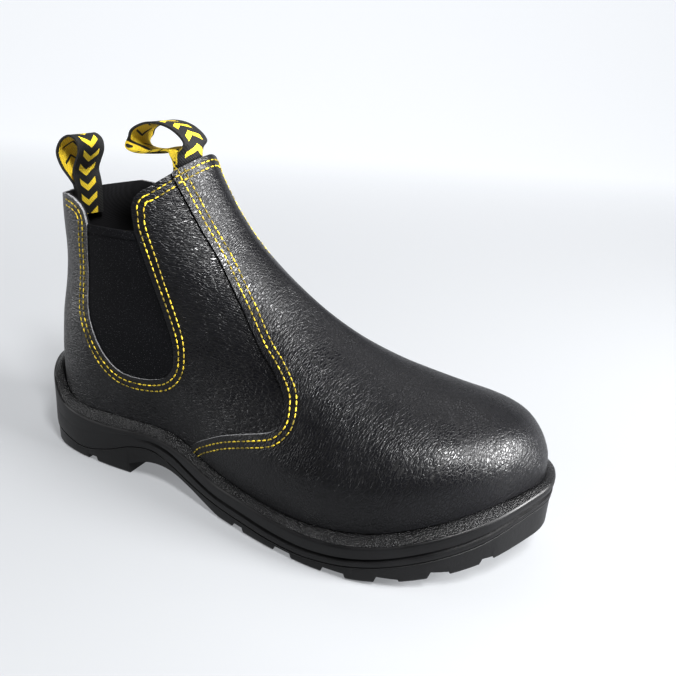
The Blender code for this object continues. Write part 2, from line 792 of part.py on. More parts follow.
def make_outsole():
    """Tread unit with its heel, arch, toe spring and lugs."""
    def under(lift):
        return lambda reach: floor_height(reach) + lift

    def split(lift):
        return lambda reach: side_height(reach, "split") + lift

    shape = bmesh.new()
    rows = add_loops(shape, [
        outline(SPLIT_INSET + TREAD_BEVEL, under(0.0), BACK_BEVEL),
        outline(SPLIT_INSET + 0.3 * TREAD_BEVEL, under(0.7 * TREAD_BEVEL), 0.4 * BACK_BEVEL),
        outline(SPLIT_INSET, split(-0.5 * GAP)),
    ])
    cap(shape, rows[0], upwards=False)
    cap(shape, rows[-1], upwards=True)
    piece = add_object("outsole", shape, finish_for("outsole"))
    cut(piece, arch_cutter())
    for number, notch in enumerate(NOTCHES + (HEEL_NOTCH,), start=1):
        for label, side in (("outer", -1), ("inner", 1)):
            cut(piece, notch_cutter(f"notch_{number}_{label}", notch, side))


def ribbon(name, path, bow):
    """Webbing of the strap's width swept along a path in reach and height."""
    path = np.array(path)
    along = np.gradient(path, axis=0)
    along /= np.linalg.norm(along, axis=1, keepdims=True)
    across = np.stack([-along[:, 1], along[:, 0]], axis=1)
    lanes = np.linspace(-1.0, 1.0, STRAP_STEPS + 1)
    shape = bmesh.new()
    loops = []
    for point, face, bend in zip(path, across, bow):
        loop = []
        for thickness, order in ((-0.5, lanes), (0.5, lanes[::-1])):
            for lane in order:
                reach = point[0] + face[0] * thickness * STRAP_THICKNESS + bend * lane * lane
                height = point[1] + face[1] * thickness * STRAP_THICKNESS
                loop.append((reach, 0.5 * lane * STRAP_WIDTH, height))
        loops.append(loop)
    rows = [[shape.verts.new(point) for point in loop] for loop in loops]
    for low, high in zip(rows, rows[1:]):
        for index in range(len(low)):
            after = (index + 1) % len(low)
            shape.faces.new((low[index], low[after], high[after], high[index]))
    for row in (rows[0], rows[-1]):
        for lane in range(STRAP_STEPS):
            shape.faces.new((row[lane], row[lane + 1], row[-lane - 2], row[-lane - 1]))
    bmesh.ops.recalc_face_normals(shape, faces=shape.faces)
    add_object(name, shape, finish_for(name))


def wall_reach(inside, heights, end, across):
    """Reach of the collar's inner wall at one end, furthest in over the given heights."""
    half = inside.shape[1] // 2
    order = np.arange(1, half // 2)
    columns = [(end + turn * order) % inside.shape[1] for turn in (-1, 1)]
    found = []
    for height in heights:
        for picked in columns:
            picked = np.concatenate([[end], picked])
            level = [[np.interp(height, inside[:, spot, 2], inside[:, spot, axis]) for axis in (0, 1)]
                     for spot in picked]
            reach, width = np.array(level).T
            found.append(float(np.interp(across, np.abs(width), reach)))
    return min(found) if end else max(found)


def make_pull_loop(name, table, size, inside, end, top):
    """A webbing loop whose two ends are sewn inside the collar."""
    facing = -1.0 if end else 1.0
    tail = top - STRAP_TUCK
    heights = np.linspace(tail, top, 3)
    middle = wall_reach(inside, heights, end, 0.0)
    edge = wall_reach(inside, heights, end, 0.5 * STRAP_WIDTH)
    layer = STRAP_THICKNESS + GAP
    near = middle + facing * (GAP + 0.5 * STRAP_THICKNESS)
    inner = near + facing * layer
    points = [(near + row.along * size[0], top + row.up * size[1]) for row in table]
    points[-1] = (inner, points[-1][1])
    points = [(near, tail), (near, 0.5 * (tail + top))] + points
    points += [(inner, 0.5 * (tail + top)), (inner, tail)]
    path = smooth_path(points, 2)
    fade = 1.0 - ease((path[:, 1] - top) / (0.5 * size[1]))
    ribbon(name, path, (edge - middle + facing * GAP) * fade)


def make_pull_loops(grid, facing):
    """Loops at the back and the front of the collar."""
    inside = grid - WALL * facing
    make_pull_loop("pull_loop_back", BACK_LOOP, (BACK_LOOP_DEPTH, BACK_LOOP_HEIGHT),
                   inside, 0, COLLAR_BACK_HEIGHT)
    make_pull_loop("pull_loop_front", FRONT_LOOP, (FRONT_LOOP_DEPTH, FRONT_LOOP_HEIGHT),
                   inside, grid.shape[1] // 2, COLLAR_FRONT_HEIGHT)


def main():
    for item in list(bpy.data.objects):
        bpy.data.objects.remove(item)
    grid = upper_surface()
    facing = normals(grid)
    above = prism("top_cutter", top_line(), -BALL_WIDTH, BALL_WIDTH)
    make_outsole()
    make_midsole(grid, facing)
    make_insole(grid, facing)
    make_upper(grid, facing, above)
    make_vamp(grid, facing, above)
    make_heel_strip(grid, facing, above)
    make_gores(grid, facing)
    make_pull_loops(grid, facing)


main()
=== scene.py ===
"""Looks of a side gore work boot for the right foot, laid out as a Blender add-on.

+X runs from heel to toe, +Y to the inner side of the foot, +Z up, in metres.
The origin is on the floor, in the middle of the heel's tread.
"""

from collections import namedtuple

import bmesh
import bpy
import numpy as np
from bpy.props import FloatProperty, FloatVectorProperty, PointerProperty
from bpy.types import Operator, Panel, PropertyGroup
from mathutils import Matrix, Vector
from mathutils.bvhtree import BVHTree


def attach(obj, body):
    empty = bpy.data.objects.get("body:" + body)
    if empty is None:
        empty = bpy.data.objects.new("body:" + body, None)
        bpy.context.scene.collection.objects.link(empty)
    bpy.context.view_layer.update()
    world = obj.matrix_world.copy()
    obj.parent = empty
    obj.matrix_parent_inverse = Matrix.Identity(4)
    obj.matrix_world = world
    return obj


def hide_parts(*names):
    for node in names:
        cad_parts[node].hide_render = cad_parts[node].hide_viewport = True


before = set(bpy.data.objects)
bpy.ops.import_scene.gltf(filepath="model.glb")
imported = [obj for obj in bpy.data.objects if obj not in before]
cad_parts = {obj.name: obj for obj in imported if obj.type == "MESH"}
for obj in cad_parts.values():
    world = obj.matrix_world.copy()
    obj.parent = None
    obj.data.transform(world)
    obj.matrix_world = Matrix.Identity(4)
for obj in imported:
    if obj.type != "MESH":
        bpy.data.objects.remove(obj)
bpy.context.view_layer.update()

bl_info = {
    "name": "Side gore work boot",
    "version": (1, 0, 0),
    "blender": (4, 5, 0),
    "location": "View3D > Sidebar > Boot",
    "description": "Builds the surfaces and finishes of a side gore work boot",
    "category": "Object",
}

# Sole: reaches are measured forward from the back of the heel
SOLE_LENGTH = 0.300
BALL_WIDTH = 0.115
HEEL_WIDTH = 0.078
HEEL_TREAD_MIDDLE = 0.034
HEEL_BREAST = 0.077
FOREFOOT_LENGTH = 0.152
TREAD_START = SOLE_LENGTH - FOREFOOT_LENGTH
SPRING_LENGTH = 0.082
SPRING_START = SOLE_LENGTH - SPRING_LENGTH
TOE_SPRING = 0.018
ARCH_HEIGHT = 0.012
SOLE_HEIGHT = 0.033
SEAT_HEIGHT = 0.026
HEEL_RIM = 0.0042
BALL_RIM = 0.0068
BEAD_RADIUS = 0.0014
GROOVE_DEPTH = 0.0018
GROOVE_HALF = 0.0011
SPLIT_INSET = 0.0010
TREAD_BEVEL = 0.0014
BACK_BEVEL = 0.0030
SPRING_CURVE = 1.4
LUG_DEPTH = 0.0035
CHANNEL_SLOPE = 0.0012
CENTRE_RIB = 0.012
# Shares of the sole's length where its width and side change, and over how far
BALL_START = 0.30
BALL_RUN = 0.30
RIM_START = 0.25
RIM_RUN = 0.30
GROOVE_START = 0.27
GROOVE_RUN = 0.08
BACK_RUN = 0.08

# Upper
TOE_HEIGHT = 0.0785
COLLAR_FRONT_HEIGHT = 0.175
COLLAR_BACK_HEIGHT = 0.148
COLLAR_FRONT_REACH = 0.102
HEEL_BACK_REACH = 0.0170
TOE_FRONT_REACH = 0.2935
SHAFT_WIDTH = 0.073
RIDGE_SHIFT = 0.006
FOOT_TOP = 0.080
SHAFT_START = 0.125
SHAFT_CREST = 0.60
SHAFT_POWER = 2.1
BODY_POWER = 2.4
BODY_BLEND = 0.004
FLANK_SWELL = 0.05
FLANK_TOP = 0.60
HEEL_BASE = 0.40
HEEL_RUN = 0.40
FILL_BACK = 0.20
FILL_FRONT = 0.30
BENT_SLICES = 11.0
WALL = 0.0026

# Side opening, and the pieces laid on or set into the upper
GORE_REACH = 0.0480
GORE_WIDTH = 0.0585
GORE_BOTTOM = 0.0597
COLLAR_DROP = 0.0098
GORE_HEIGHT = COLLAR_BACK_HEIGHT - COLLAR_DROP - GORE_BOTTOM
GORE_RECESS = 0.0008
GORE_THICKNESS = 0.0014
PANEL = 0.0014
STRIP_WIDTH = 0.015
STRIP_THICKNESS = 0.0010
INSOLE_THICKNESS = 0.0045
STRAP_WIDTH = 0.020
STRAP_THICKNESS = 0.0011
STRAP_TUCK = 0.014
BACK_LOOP_HEIGHT = 0.030
BACK_LOOP_DEPTH = 0.0165
FRONT_LOOP_HEIGHT = 0.0150
FRONT_LOOP_DEPTH = 0.0365

# Clearance between pieces that touch, and how far cutters reach past the boot
GAP = 0.0003
BEYOND = 0.030

# Facets of the visible surfaces
STATIONS = 26
FINE_STATIONS = 96
FINE_ROWS = 110
SOLE_STATIONS = 150
SMOOTH_ANGLE = 35.0
SOLE_ANGLE = 30.0

# Fine shapes of the visible surfaces
RIDGE_AWAY = 1.7
RIDGE_SHARE = 0.45
SIDE_BLEND = 0.004
EDGE_TURN = 0.6
LIP_HEIGHT = 0.0012
LIP_ROUND = 0.0004
RIM_BULGE = 0.0007
CORNER_ROUND = 0.0005
CORNER_ANGLE = 35.0
HEM_THICKNESS = 0.0004
UNDERLAP = (0.012, -0.004)
THREAD_FLAT = 0.8
THREAD_LIFT = 0.15
EDGE_CLEAR = 0.0006
SEAM_CLEAR = 0.001
FINE_STEP = 0.001
SEAM_STEPS = 5

# Stage: the floor turns up into a backdrop of 1 m radius behind the boot
FLOOR_SIZE = (6.0, 3.0)
BACKDROP_START = 1.2
VIEW_TURN = 23.6
VIEW_TILT = 20.9
VIEW_ROLL = 3.84
VIEW_PLACE = (0.2926, -0.3287, 0.2298)
VIEW_LENS = 39.91

Station = namedtuple("Station", "reach outer inner")
# Shares: reach of the sole's length, the sides of half its local width
PLAN = (
    Station(0.00, 0.000, 0.000),
    Station(0.02, -0.460, 0.460),
    Station(0.06, -0.785, 0.775),
    Station(0.12, -0.955, 0.945),
    Station(0.20, -1.018, 0.975),
    Station(0.30, -1.018, 0.909),
    Station(0.42, -1.011, 0.690),
    Station(0.55, -1.020, 0.680),
    Station(0.68, -1.108, 0.883),
    Station(0.78, -1.071, 0.892),
    Station(0.86, -0.913, 0.830),
    Station(0.93, -0.631, 0.736),
    Station(0.98, -0.235, 0.468),
    Station(1.00, 0.070, 0.070),
)

Side = namedtuple("Side", "reach split groove bead rim")
# Shares: reach of the sole's length, heights of the sole's height
SIDES = (
    Side(0.000, 0.38, 0.85, 1.42, 1.68),
    Side(0.045, 0.35, 0.72, 1.24, 1.44),
    Side(0.085, 0.29, 0.60, 0.93, 1.10),
    Side(0.140, 0.21, 0.55, 0.81, 0.98),
    Side(0.210, 0.35, 0.62, 0.79, 0.99),
    Side(0.265, 0.54, 0.72, 0.82, 1.00),
    Side(0.310, 0.59, 0.73, 0.83, 1.00),
    Side(0.360, 0.46, 0.66, 0.80, 0.95),
    Side(0.400, 0.34, 0.53, 0.73, 0.86),
    Side(0.460, 0.24, 0.39, 0.60, 0.73),
    Side(0.530, 0.20, 0.35, 0.56, 0.65),
    Side(0.660, 0.16, 0.29, 0.50, 0.62),
    Side(0.720, 0.21, 0.33, 0.53, 0.67),
    Side(0.780, 0.32, 0.44, 0.63, 0.78),
    Side(0.855, 0.51, 0.64, 0.83, 1.00),
    Side(0.925, 0.73, 0.86, 1.05, 1.22),
    Side(0.970, 0.93, 1.05, 1.20, 1.31),
    Side(1.000, 1.04, 1.16, 1.30, 1.35),
)

Seat = namedtuple("Seat", "reach height")
# Shares: reach of the sole's length, height of the heel seat
SEATS = (
    Seat(0.00, 1.00),
    Seat(0.20, 1.00),
    Seat(0.32, 0.97),
    Seat(0.48, 0.62),
    Seat(0.60, 0.52),
    Seat(0.72, 0.58),
    Seat(0.86, 0.92),
    Seat(0.93, 1.14),
    Seat(1.00, 1.44),
)

Arch = namedtuple("Arch", "run height")
# Shares: run from the heel breast to the forefoot's tread, height of the arch
ARCH = (
    Arch(0.00, 0.55),
    Arch(0.19, 0.95),
    Arch(0.40, 1.00),
    Arch(0.61, 0.69),
    Arch(0.78, 0.38),
    Arch(0.87, 0.22),
    Arch(1.00, 0.00),
)

Slice = namedtuple("Slice", "back run climb")
# Shares: back of the collar's height at the heel, run from collar to toe tip,
# climb to the toe's height up to 1 and on to the collar's front up to 2
SLICES = (
    Slice(0.400, 0.995, 0.675),
    Slice(0.432, 0.979, 0.764),
    Slice(0.466, 0.943, 0.870),
    Slice(0.500, 0.893, 0.932),
    Slice(0.534, 0.830, 0.971),
    Slice(0.568, 0.752, 0.994),
    Slice(0.602, 0.668, 1.022),
    Slice(0.636, 0.574, 1.063),
    Slice(0.669, 0.480, 1.130),
    Slice(0.703, 0.386, 1.221),
    Slice(0.743, 0.298, 1.326),
    Slice(0.784, 0.225, 1.428),
    Slice(0.824, 0.162, 1.534),
    Slice(0.865, 0.105, 1.658),
    Slice(0.909, 0.058, 1.785),
    Slice(0.953, 0.021, 1.910),
    Slice(0.993, 0.000, 2.000),
    Slice(1.034, -0.024, 2.080),
)
TIP_CLIMB = 0.560

Heel = namedtuple("Heel", "height reach")
# Shares: height of the collar's back, reach of the leather behind the ankle
HEEL_CURVE = (
    Heel(0.15, 0.42),
    Heel(0.38, 0.48),
    Heel(0.47, 0.56),
    Heel(0.60, 0.68),
    Heel(0.71, 0.76),
    Heel(0.82, 0.85),
    Heel(0.93, 0.93),
    Heel(1.05, 1.05),
)

Bulk = namedtuple("Bulk", "run power crest waist shift")
# Shares of the run from heel to toe: how square a cross-section is, how sharp
# its crest, the height where its sides start to turn in, and how far its ridge
# lies to the inner side
BULKS = (
    Bulk(0.00, 2.4, 0.00, 0.36, 0.00),
    Bulk(0.25, 2.2, 0.10, 0.37, 0.30),
    Bulk(0.45, 1.7, 0.50, 0.38, 0.60),
    Bulk(0.60, 1.8, 0.45, 0.38, 0.85),
    Bulk(0.75, 2.1, 0.20, 0.38, 1.00),
    Bulk(0.90, 2.4, 0.10, 0.52, 0.75),
    Bulk(1.00, 2.4, 0.05, 0.60, 0.45),
)

Edge = namedtuple("Edge", "along up")
# Shares of the side opening's width and height, from its back corner round
GORE_EDGE = (
    Edge(0.065, 1.000),
    Edge(0.012, 0.743),
    Edge(0.002, 0.453),
    Edge(0.096, 0.259),
    Edge(0.180, 0.150),
    Edge(0.300, 0.061),
    Edge(0.453, 0.008),
    Edge(0.653, 0.004),
    Edge(0.838, 0.031),
    Edge(0.942, 0.080),
    Edge(0.992, 0.143),
    Edge(0.995, 0.218),
    Edge(0.968, 0.315),
    Edge(0.897, 0.442),
    Edge(0.732, 0.738),
    Edge(0.573, 1.004),
)
# The same shares, round the rounded corner of the front quarter
TAB_EDGE = (
    Edge(0.544, 1.108),
    Edge(0.532, 1.164),
    Edge(0.552, 1.222),
    Edge(0.598, 1.264),
    Edge(0.656, 1.293),
)

# Shares of the collar's drop to the opening's corner, back from that corner
COLLAR_EDGE = (
    Edge(1.60, 1.35),
    Edge(0.95, 1.25),
    Edge(0.45, 1.00),
    Edge(0.15, 0.65),
)

# Shares of the run from collar front to toe, and of the collar's front height
VAMP_EDGE = (
    Edge(-0.084, 1.063),
    Edge(-0.063, 1.017),
    Edge(-0.041, 0.966),
    Edge(-0.026, 0.931),
    Edge(0.043, 0.815),
    Edge(0.121, 0.708),
    Edge(0.182, 0.622),
    Edge(0.257, 0.523),
    Edge(0.325, 0.464),
    Edge(0.370, 0.418),
    Edge(0.386, 0.378),
    Edge(0.386, 0.354),
    Edge(0.372, 0.333),
    Edge(0.351, 0.320),
    Edge(0.279, 0.292),
    Edge(0.215, 0.263),
    Edge(0.158, 0.227),
    Edge(0.112, 0.192),
    Edge(0.088, 0.158),
)

Notch = namedtuple("Notch", "reach width lean")
# Shares of the sole's length: side notches between the forefoot's lugs
NOTCHES = (
    Notch(0.511, 0.028, 0.10),
    Notch(0.606, 0.038, 0.10),
    Notch(0.703, 0.044, 0.08),
    Notch(0.796, 0.040, 0.04),
    Notch(0.875, 0.032, 0.00),
    Notch(0.934, 0.020, 0.00),
)
HEEL_NOTCH = Notch(0.168, 0.028, 0.00)

# Shares of a pull loop's depth and height, in the order of its webbing
BACK_LOOP = (
    Edge(0.00, 0.09),
    Edge(-0.12, 0.22),
    Edge(-0.40, 0.42),
    Edge(-0.57, 0.66),
    Edge(-0.39, 0.88),
    Edge(-0.01, 1.00),
    Edge(0.31, 0.92),
    Edge(0.37, 0.74),
    Edge(0.22, 0.54),
    Edge(0.08, 0.36),
    Edge(0.08, 0.20),
    Edge(0.09, 0.09),
)
FRONT_LOOP = (
    Edge(0.00, 0.00),
    Edge(-0.02, 0.26),
    Edge(-0.10, 0.60),
    Edge(-0.28, 0.88),
    Edge(-0.50, 1.00),
    Edge(-0.74, 0.95),
    Edge(-0.96, 0.68),
    Edge(-0.99, 0.34),
    Edge(-0.84, 0.02),
    Edge(-0.60, -0.04),
    Edge(-0.36, 0.10),
    Edge(-0.17, 0.14),
    Edge(-0.07, -0.10),
    Edge(-0.05, -0.40),
)

Crease = namedtuple("Crease", "reach height turn length width depth bow side")
# Reach as a share of the sole's length, height as a share of the toe's height,
# turn in degrees, the rest in metres, side -1 outer and 1 inner
CREASES = (
    Crease(0.60, 0.80, -35, 0.030, 0.0016, 0.00035, 0.10, -1),
    Crease(0.64, 0.62, -40, 0.026, 0.0015, 0.00030, 0.10, -1),
    Crease(0.55, 0.98, -38, 0.030, 0.0018, 0.00035, 0.08, -1),
    Crease(0.60, 0.80, -35, 0.030, 0.0016, 0.00035, 0.10, 1),
    Crease(0.64, 0.62, -40, 0.026, 0.0015, 0.00030, 0.10, 1),
    Crease(0.44, 0.92, 5, 0.028, 0.0016, 0.00030, 0.05, -1),
    Crease(0.42, 0.80, -5, 0.026, 0.0014, 0.00025, 0.05, -1),
)


def column(rows, name):
    """One named column of a table, as an array."""
    return np.array([getattr(row, name) for row in rows], float)


def ease(value):
    """Rise smoothly from 0 to 1 as value does."""
    value = np.clip(value, 0.0, 1.0)
    return value * value * (3.0 - 2.0 * value)


def through(knots, values, at):
    """Read a smooth curve through the values at their knots."""
    step = np.diff(knots)
    rise = np.diff(values) / step
    slope = np.concatenate([
        rise[:1],
        (rise[:-1] * step[1:] + rise[1:] * step[:-1]) / (step[:-1] + step[1:]),
        rise[-1:],
    ])
    at = np.clip(at, knots[0], knots[-1])
    spot = np.clip(np.searchsorted(knots, at, side="right") - 1, 0, len(step) - 1)
    part = (at - knots[spot]) / step[spot]
    here, after = values[spot], values[spot + 1]
    bend_here, bend_after = slope[spot] * step[spot], slope[spot + 1] * step[spot]
    lift = part * part * (3.0 - 2.0 * part)
    return (here + (after - here) * lift
            + bend_here * part * (1.0 - part) ** 2
            - bend_after * part ** 2 * (1.0 - part))


def half_width(share):
    """Half the sole's named width at a share of its length."""
    return 0.5 * (HEEL_WIDTH + (BALL_WIDTH - HEEL_WIDTH) * ease((share - BALL_START) / BALL_RUN))


def plan(share, side):
    """Y of the sole's outline at a share of its length."""
    share = np.clip(share, 0.0, 1.0)
    turn = np.arccos(1.0 - 2.0 * share)
    knots = np.arccos(1.0 - 2.0 * column(PLAN, "reach"))
    shares = column(PLAN, "outer" if side < 0 else "inner")
    return half_width(share) * through(knots, shares, turn)


def side_height(reach, name):
    """Height of a named line round the sole's side at a reach."""
    return SOLE_HEIGHT * through(column(SIDES, "reach"), column(SIDES, name), reach / SOLE_LENGTH)


def seat_height(reach):
    """Height of the surface that the upper and insole stand on."""
    return SEAT_HEIGHT * through(column(SEATS, "reach"), column(SEATS, "height"), reach / SOLE_LENGTH)


def floor_height(reach):
    """Height of the tread's underside, without the arch."""
    run = np.clip((reach - SPRING_START) / (SOLE_LENGTH - SPRING_START), 0.0, 1.0)
    return TOE_SPRING * run ** SPRING_CURVE


def ridge_height(climb):
    """Height of the ridge from toe to collar at a climb between 0 and 2."""
    toe = np.minimum(climb, 1.0) * TOE_HEIGHT
    shaft = np.maximum(climb - 1.0, 0.0) * (COLLAR_FRONT_HEIGHT - TOE_HEIGHT)
    return toe + shaft


def ridge_at(reach):
    """Height of the ridge above a reach, carried on in a line behind the collar."""
    runs = np.append(column(SLICES, "run")[::-1], 1.0)
    climbs = np.append(column(SLICES, "climb")[::-1], TIP_CLIMB)
    reaches = COLLAR_FRONT_REACH + runs * (TOE_FRONT_REACH - COLLAR_FRONT_REACH)
    heights = ridge_height(climbs)
    slope = (heights[0] - heights[1]) / (reaches[1] - reaches[0])
    beyond = np.maximum(reaches[0] - reach, 0.0)
    return through(reaches, heights, reach) + slope * beyond


def back_reach(height):
    """Reach of the leather at the heel's centre at a height."""
    heights = column(HEEL_CURVE, "height") * COLLAR_BACK_HEIGHT
    return HEEL_BACK_REACH * through(heights, column(HEEL_CURVE, "reach"), height)


def foot_side(reach, height, side):
    """Y of the foot part of the upper at a reach and a height."""
    base = back_reach(HEEL_BASE * COLLAR_BACK_HEIGHT)
    lean = (back_reach(height) - base) * (1.0 - ease(reach / (HEEL_RUN * SOLE_LENGTH)))
    share = np.clip((reach - lean - base) / (TOE_FRONT_REACH - base), 0.0, 1.0)
    width = half_width(share)
    rim = HEEL_RIM + (BALL_RIM - HEEL_RIM) * ease((share - RIM_START) / RIM_RUN)
    flank = plan(share, side) * (1.0 - rim / width)
    climb = (height - side_height(reach, "rim")) / FOOT_TOP
    flank = flank * (1.0 + FLANK_SWELL * ease(climb / FLANK_TOP ** 2))
    oval = np.clip(1.0 - np.abs(2.0 * share - 1.0) ** BODY_POWER, 0.0, 1.0)
    body = side * 0.5 * SHAFT_WIDTH * np.sqrt(oval)
    spread = np.sqrt((body - flank) ** 2 + BODY_BLEND ** 2)
    full = 0.5 * (body + flank + side * spread)
    fill = ease(climb / FLANK_TOP) * ease((1.0 - share) / FILL_FRONT) * ease(share / FILL_BACK)
    filled = flank + (full - flank) * fill
    run = column(BULKS, "run")
    power = through(run, column(BULKS, "power"), share)
    waist = TOE_HEIGHT * through(run, column(BULKS, "waist"), share)
    shift = RIDGE_SHIFT * through(run, column(BULKS, "shift"), share)
    top = ridge_at(reach)
    turn = np.clip((height - waist) / np.maximum(top - waist, 1e-6), 0.0, 1.0)
    crest = through(run, column(BULKS, "crest"), share)
    round_off = np.clip(1.0 - turn ** power, 0.0, 1.0)
    hold = (1.0 - crest) * np.sqrt(round_off) + crest * round_off
    return shift + (filled - shift) * hold


def slice_loop(back, front, bend, stations):
    """Points of one loop round the upper, outer side first, from heel to toe and back."""
    shares = 0.5 * (1.0 - np.cos(np.linspace(0.0, np.pi, stations + 1)))
    reach = back[0] + (front[0] - back[0]) * shares
    rim_back = side_height(back_reach(back[1]), "rim")
    rim_front = side_height(TOE_FRONT_REACH, "rim")
    low = back_reach(rim_back) + (TOE_FRONT_REACH - back_reach(rim_back)) * shares
    dip = side_height(low, "rim") - (rim_back + (rim_front - rim_back) * shares)
    height = back[1] + (front[1] - back[1]) * shares + bend * dip
    return reach, height, shares


def ring(reach, height, shares):
    """Both sides of the upper's surface along one slice, as a closed loop of points."""
    blend = ease((height - FOOT_TOP) / (SHAFT_START - FOOT_TOP))
    oval = np.clip(1.0 - np.abs(2.0 * shares - 1.0) ** SHAFT_POWER, 0.0, 1.0)
    crest = np.where(shares < 0.5, 0.0, SHAFT_CREST)
    body = 0.5 * SHAFT_WIDTH * ((1.0 - crest) * np.sqrt(oval) + crest * oval)
    sides = []
    for side in (-1, 1):
        flank = foot_side(reach, height, side)
        flank[0] = 0.0
        ridge = flank[-1]
        shaft = ridge * shares + side * body
        sides.append(flank * (1.0 - blend) + shaft * blend)
    outer, inner = sides
    reach_loop = np.concatenate([reach, reach[-2:0:-1]])
    width_loop = np.concatenate([outer, inner[-2:0:-1]])
    height_loop = np.concatenate([height, height[-2:0:-1]])
    return np.stack([reach_loop, width_loop, height_loop], axis=1)


def upper_surface(stations=STATIONS):
    """Rows of points over the upper's outside, from the seat to above the collar."""
    rim_back = side_height(back_reach(SIDES[0].rim * SOLE_HEIGHT), "rim")
    tip = (TOE_FRONT_REACH, ridge_height(TIP_CLIMB))
    shares = 0.5 * (1.0 - np.cos(np.linspace(0.0, np.pi, stations + 1)))
    rows = []
    start = back_reach(rim_back)
    reach = start + (tip[0] - start) * shares
    rows.append(ring(reach, seat_height(reach), shares))
    rows.append(ring(reach, side_height(reach, "rim"), shares))
    for number, row in enumerate(SLICES, start=1):
        high = row.back * COLLAR_BACK_HEIGHT
        back = (float(back_reach(high)), high)
        front_reach = COLLAR_FRONT_REACH + row.run * (TOE_FRONT_REACH - COLLAR_FRONT_REACH)
        front = (front_reach, float(ridge_height(row.climb)))
        bend = max(0.0, 1.0 - number / BENT_SLICES) ** 2
        rows.append(ring(*slice_loop(back, front, bend, stations)))
    return np.array(rows)


def normals(grid):
    """Outward normals of a grid of closed loops stacked upwards."""
    around = np.roll(grid, -1, axis=1) - np.roll(grid, 1, axis=1)
    upward = np.gradient(grid, axis=0)
    normal = np.cross(around, upward)
    return normal / np.linalg.norm(normal, axis=2, keepdims=True)


def outline(inset, heights, back_extra=0.0, stations=STATIONS):
    """A closed loop on the sole's outline, moved inwards by inset."""
    shares = 0.5 * (1.0 - np.cos(np.linspace(0.0, np.pi, stations + 1)))
    reach = np.concatenate([shares, shares[-2:0:-1]]) * SOLE_LENGTH
    width = np.concatenate([plan(shares, -1), plan(shares, 1)[-2:0:-1]])
    flat = np.stack([reach, width], axis=1)
    along = np.roll(flat, -1, axis=0) - np.roll(flat, 1, axis=0)
    along /= np.linalg.norm(along, axis=1, keepdims=True)
    outward = np.stack([along[:, 1], -along[:, 0]], axis=1)
    depth = inset + back_extra * (1.0 - ease(reach / (BACK_RUN * SOLE_LENGTH)))
    moved = flat - outward * depth[:, None]
    return np.column_stack([moved, heights(reach)])


def smooth_path(points, steps):
    """Points along a smooth curve through the given ones."""
    points = np.array(points, float)
    knots = np.arange(len(points), dtype=float)
    at = np.linspace(0.0, knots[-1], (len(points) - 1) * steps + 1)
    return np.column_stack([through(knots, points[:, axis], at) for axis in range(points.shape[1])])


def gore_points(table):
    """Reach and height of a table's shares of the side opening."""
    return [(GORE_REACH + row.along * GORE_WIDTH, GORE_BOTTOM + row.up * GORE_HEIGHT)
            for row in table]


def gore_outline(inset=0.0):
    """The side opening's outline, from its back corner round to its front corner."""
    path = smooth_path(gore_points(GORE_EDGE), 2)
    along = np.gradient(path, axis=0)
    along /= np.linalg.norm(along, axis=1, keepdims=True)
    inward = np.stack([-along[:, 1], along[:, 0]], axis=1)
    return path + inward * inset


def vamp_outline():
    """The vamp's back edge, from above the collar down to below the rim."""
    rows = [(COLLAR_FRONT_REACH + row.along * (TOE_FRONT_REACH - COLLAR_FRONT_REACH),
             row.up * COLLAR_FRONT_HEIGHT) for row in VAMP_EDGE]
    return smooth_path(rows, 2)


def top_line():
    """Everything above the collar and within the side openings, as an outline."""
    gore = [tuple(point) for point in gore_outline()]
    tab = gore_points(TAB_EDGE)
    front = (COLLAR_FRONT_REACH, COLLAR_FRONT_HEIGHT)
    corner = gore[0]
    drop = COLLAR_BACK_HEIGHT - corner[1]
    behind = -BEYOND
    back = [(behind, COLLAR_BACK_HEIGHT), (HEEL_BACK_REACH, COLLAR_BACK_HEIGHT)]
    back += [(corner[0] - row.along * drop, corner[1] + row.up * drop) for row in COLLAR_EDGE]
    rise = front[1] - tab[-1][1]
    ahead = (front[0] + rise, front[1] + 0.9 * rise)
    sky = COLLAR_FRONT_HEIGHT + COLLAR_BACK_HEIGHT
    return back + gore + tab + [front, ahead, (ahead[0], sky), (behind, sky)]


def wall_reach(inside, heights, end, across):
    """Reach of the collar's inner wall at one end, furthest in over the given heights."""
    half = inside.shape[1] // 2
    order = np.arange(1, half // 2)
    columns = [(end + turn * order) % inside.shape[1] for turn in (-1, 1)]
    found = []
    for height in heights:
        for picked in columns:
            picked = np.concatenate([[end], picked])
            level = [[np.interp(height, inside[:, spot, 2], inside[:, spot, axis]) for axis in (0, 1)]
                     for spot in picked]
            reach, width = np.array(level).T
            found.append(float(np.interp(across, np.abs(width), reach)))
    return min(found) if end else max(found)


def fine_rows(grid, count):
    """The same surface with more rows, smooth from the seat to the collar."""
    steps = np.linalg.norm(np.diff(grid, axis=0), axis=2).mean(axis=1)
    knots = np.concatenate([[0.0], np.cumsum(steps)])
    at = np.linspace(0.0, knots[-1], count)
    flat = grid.reshape(len(grid), -1)
    fine = np.column_stack([through(knots, flat[:, spot], at) for spot in range(flat.shape[1])])
    return fine.reshape(count, *grid.shape[1:])


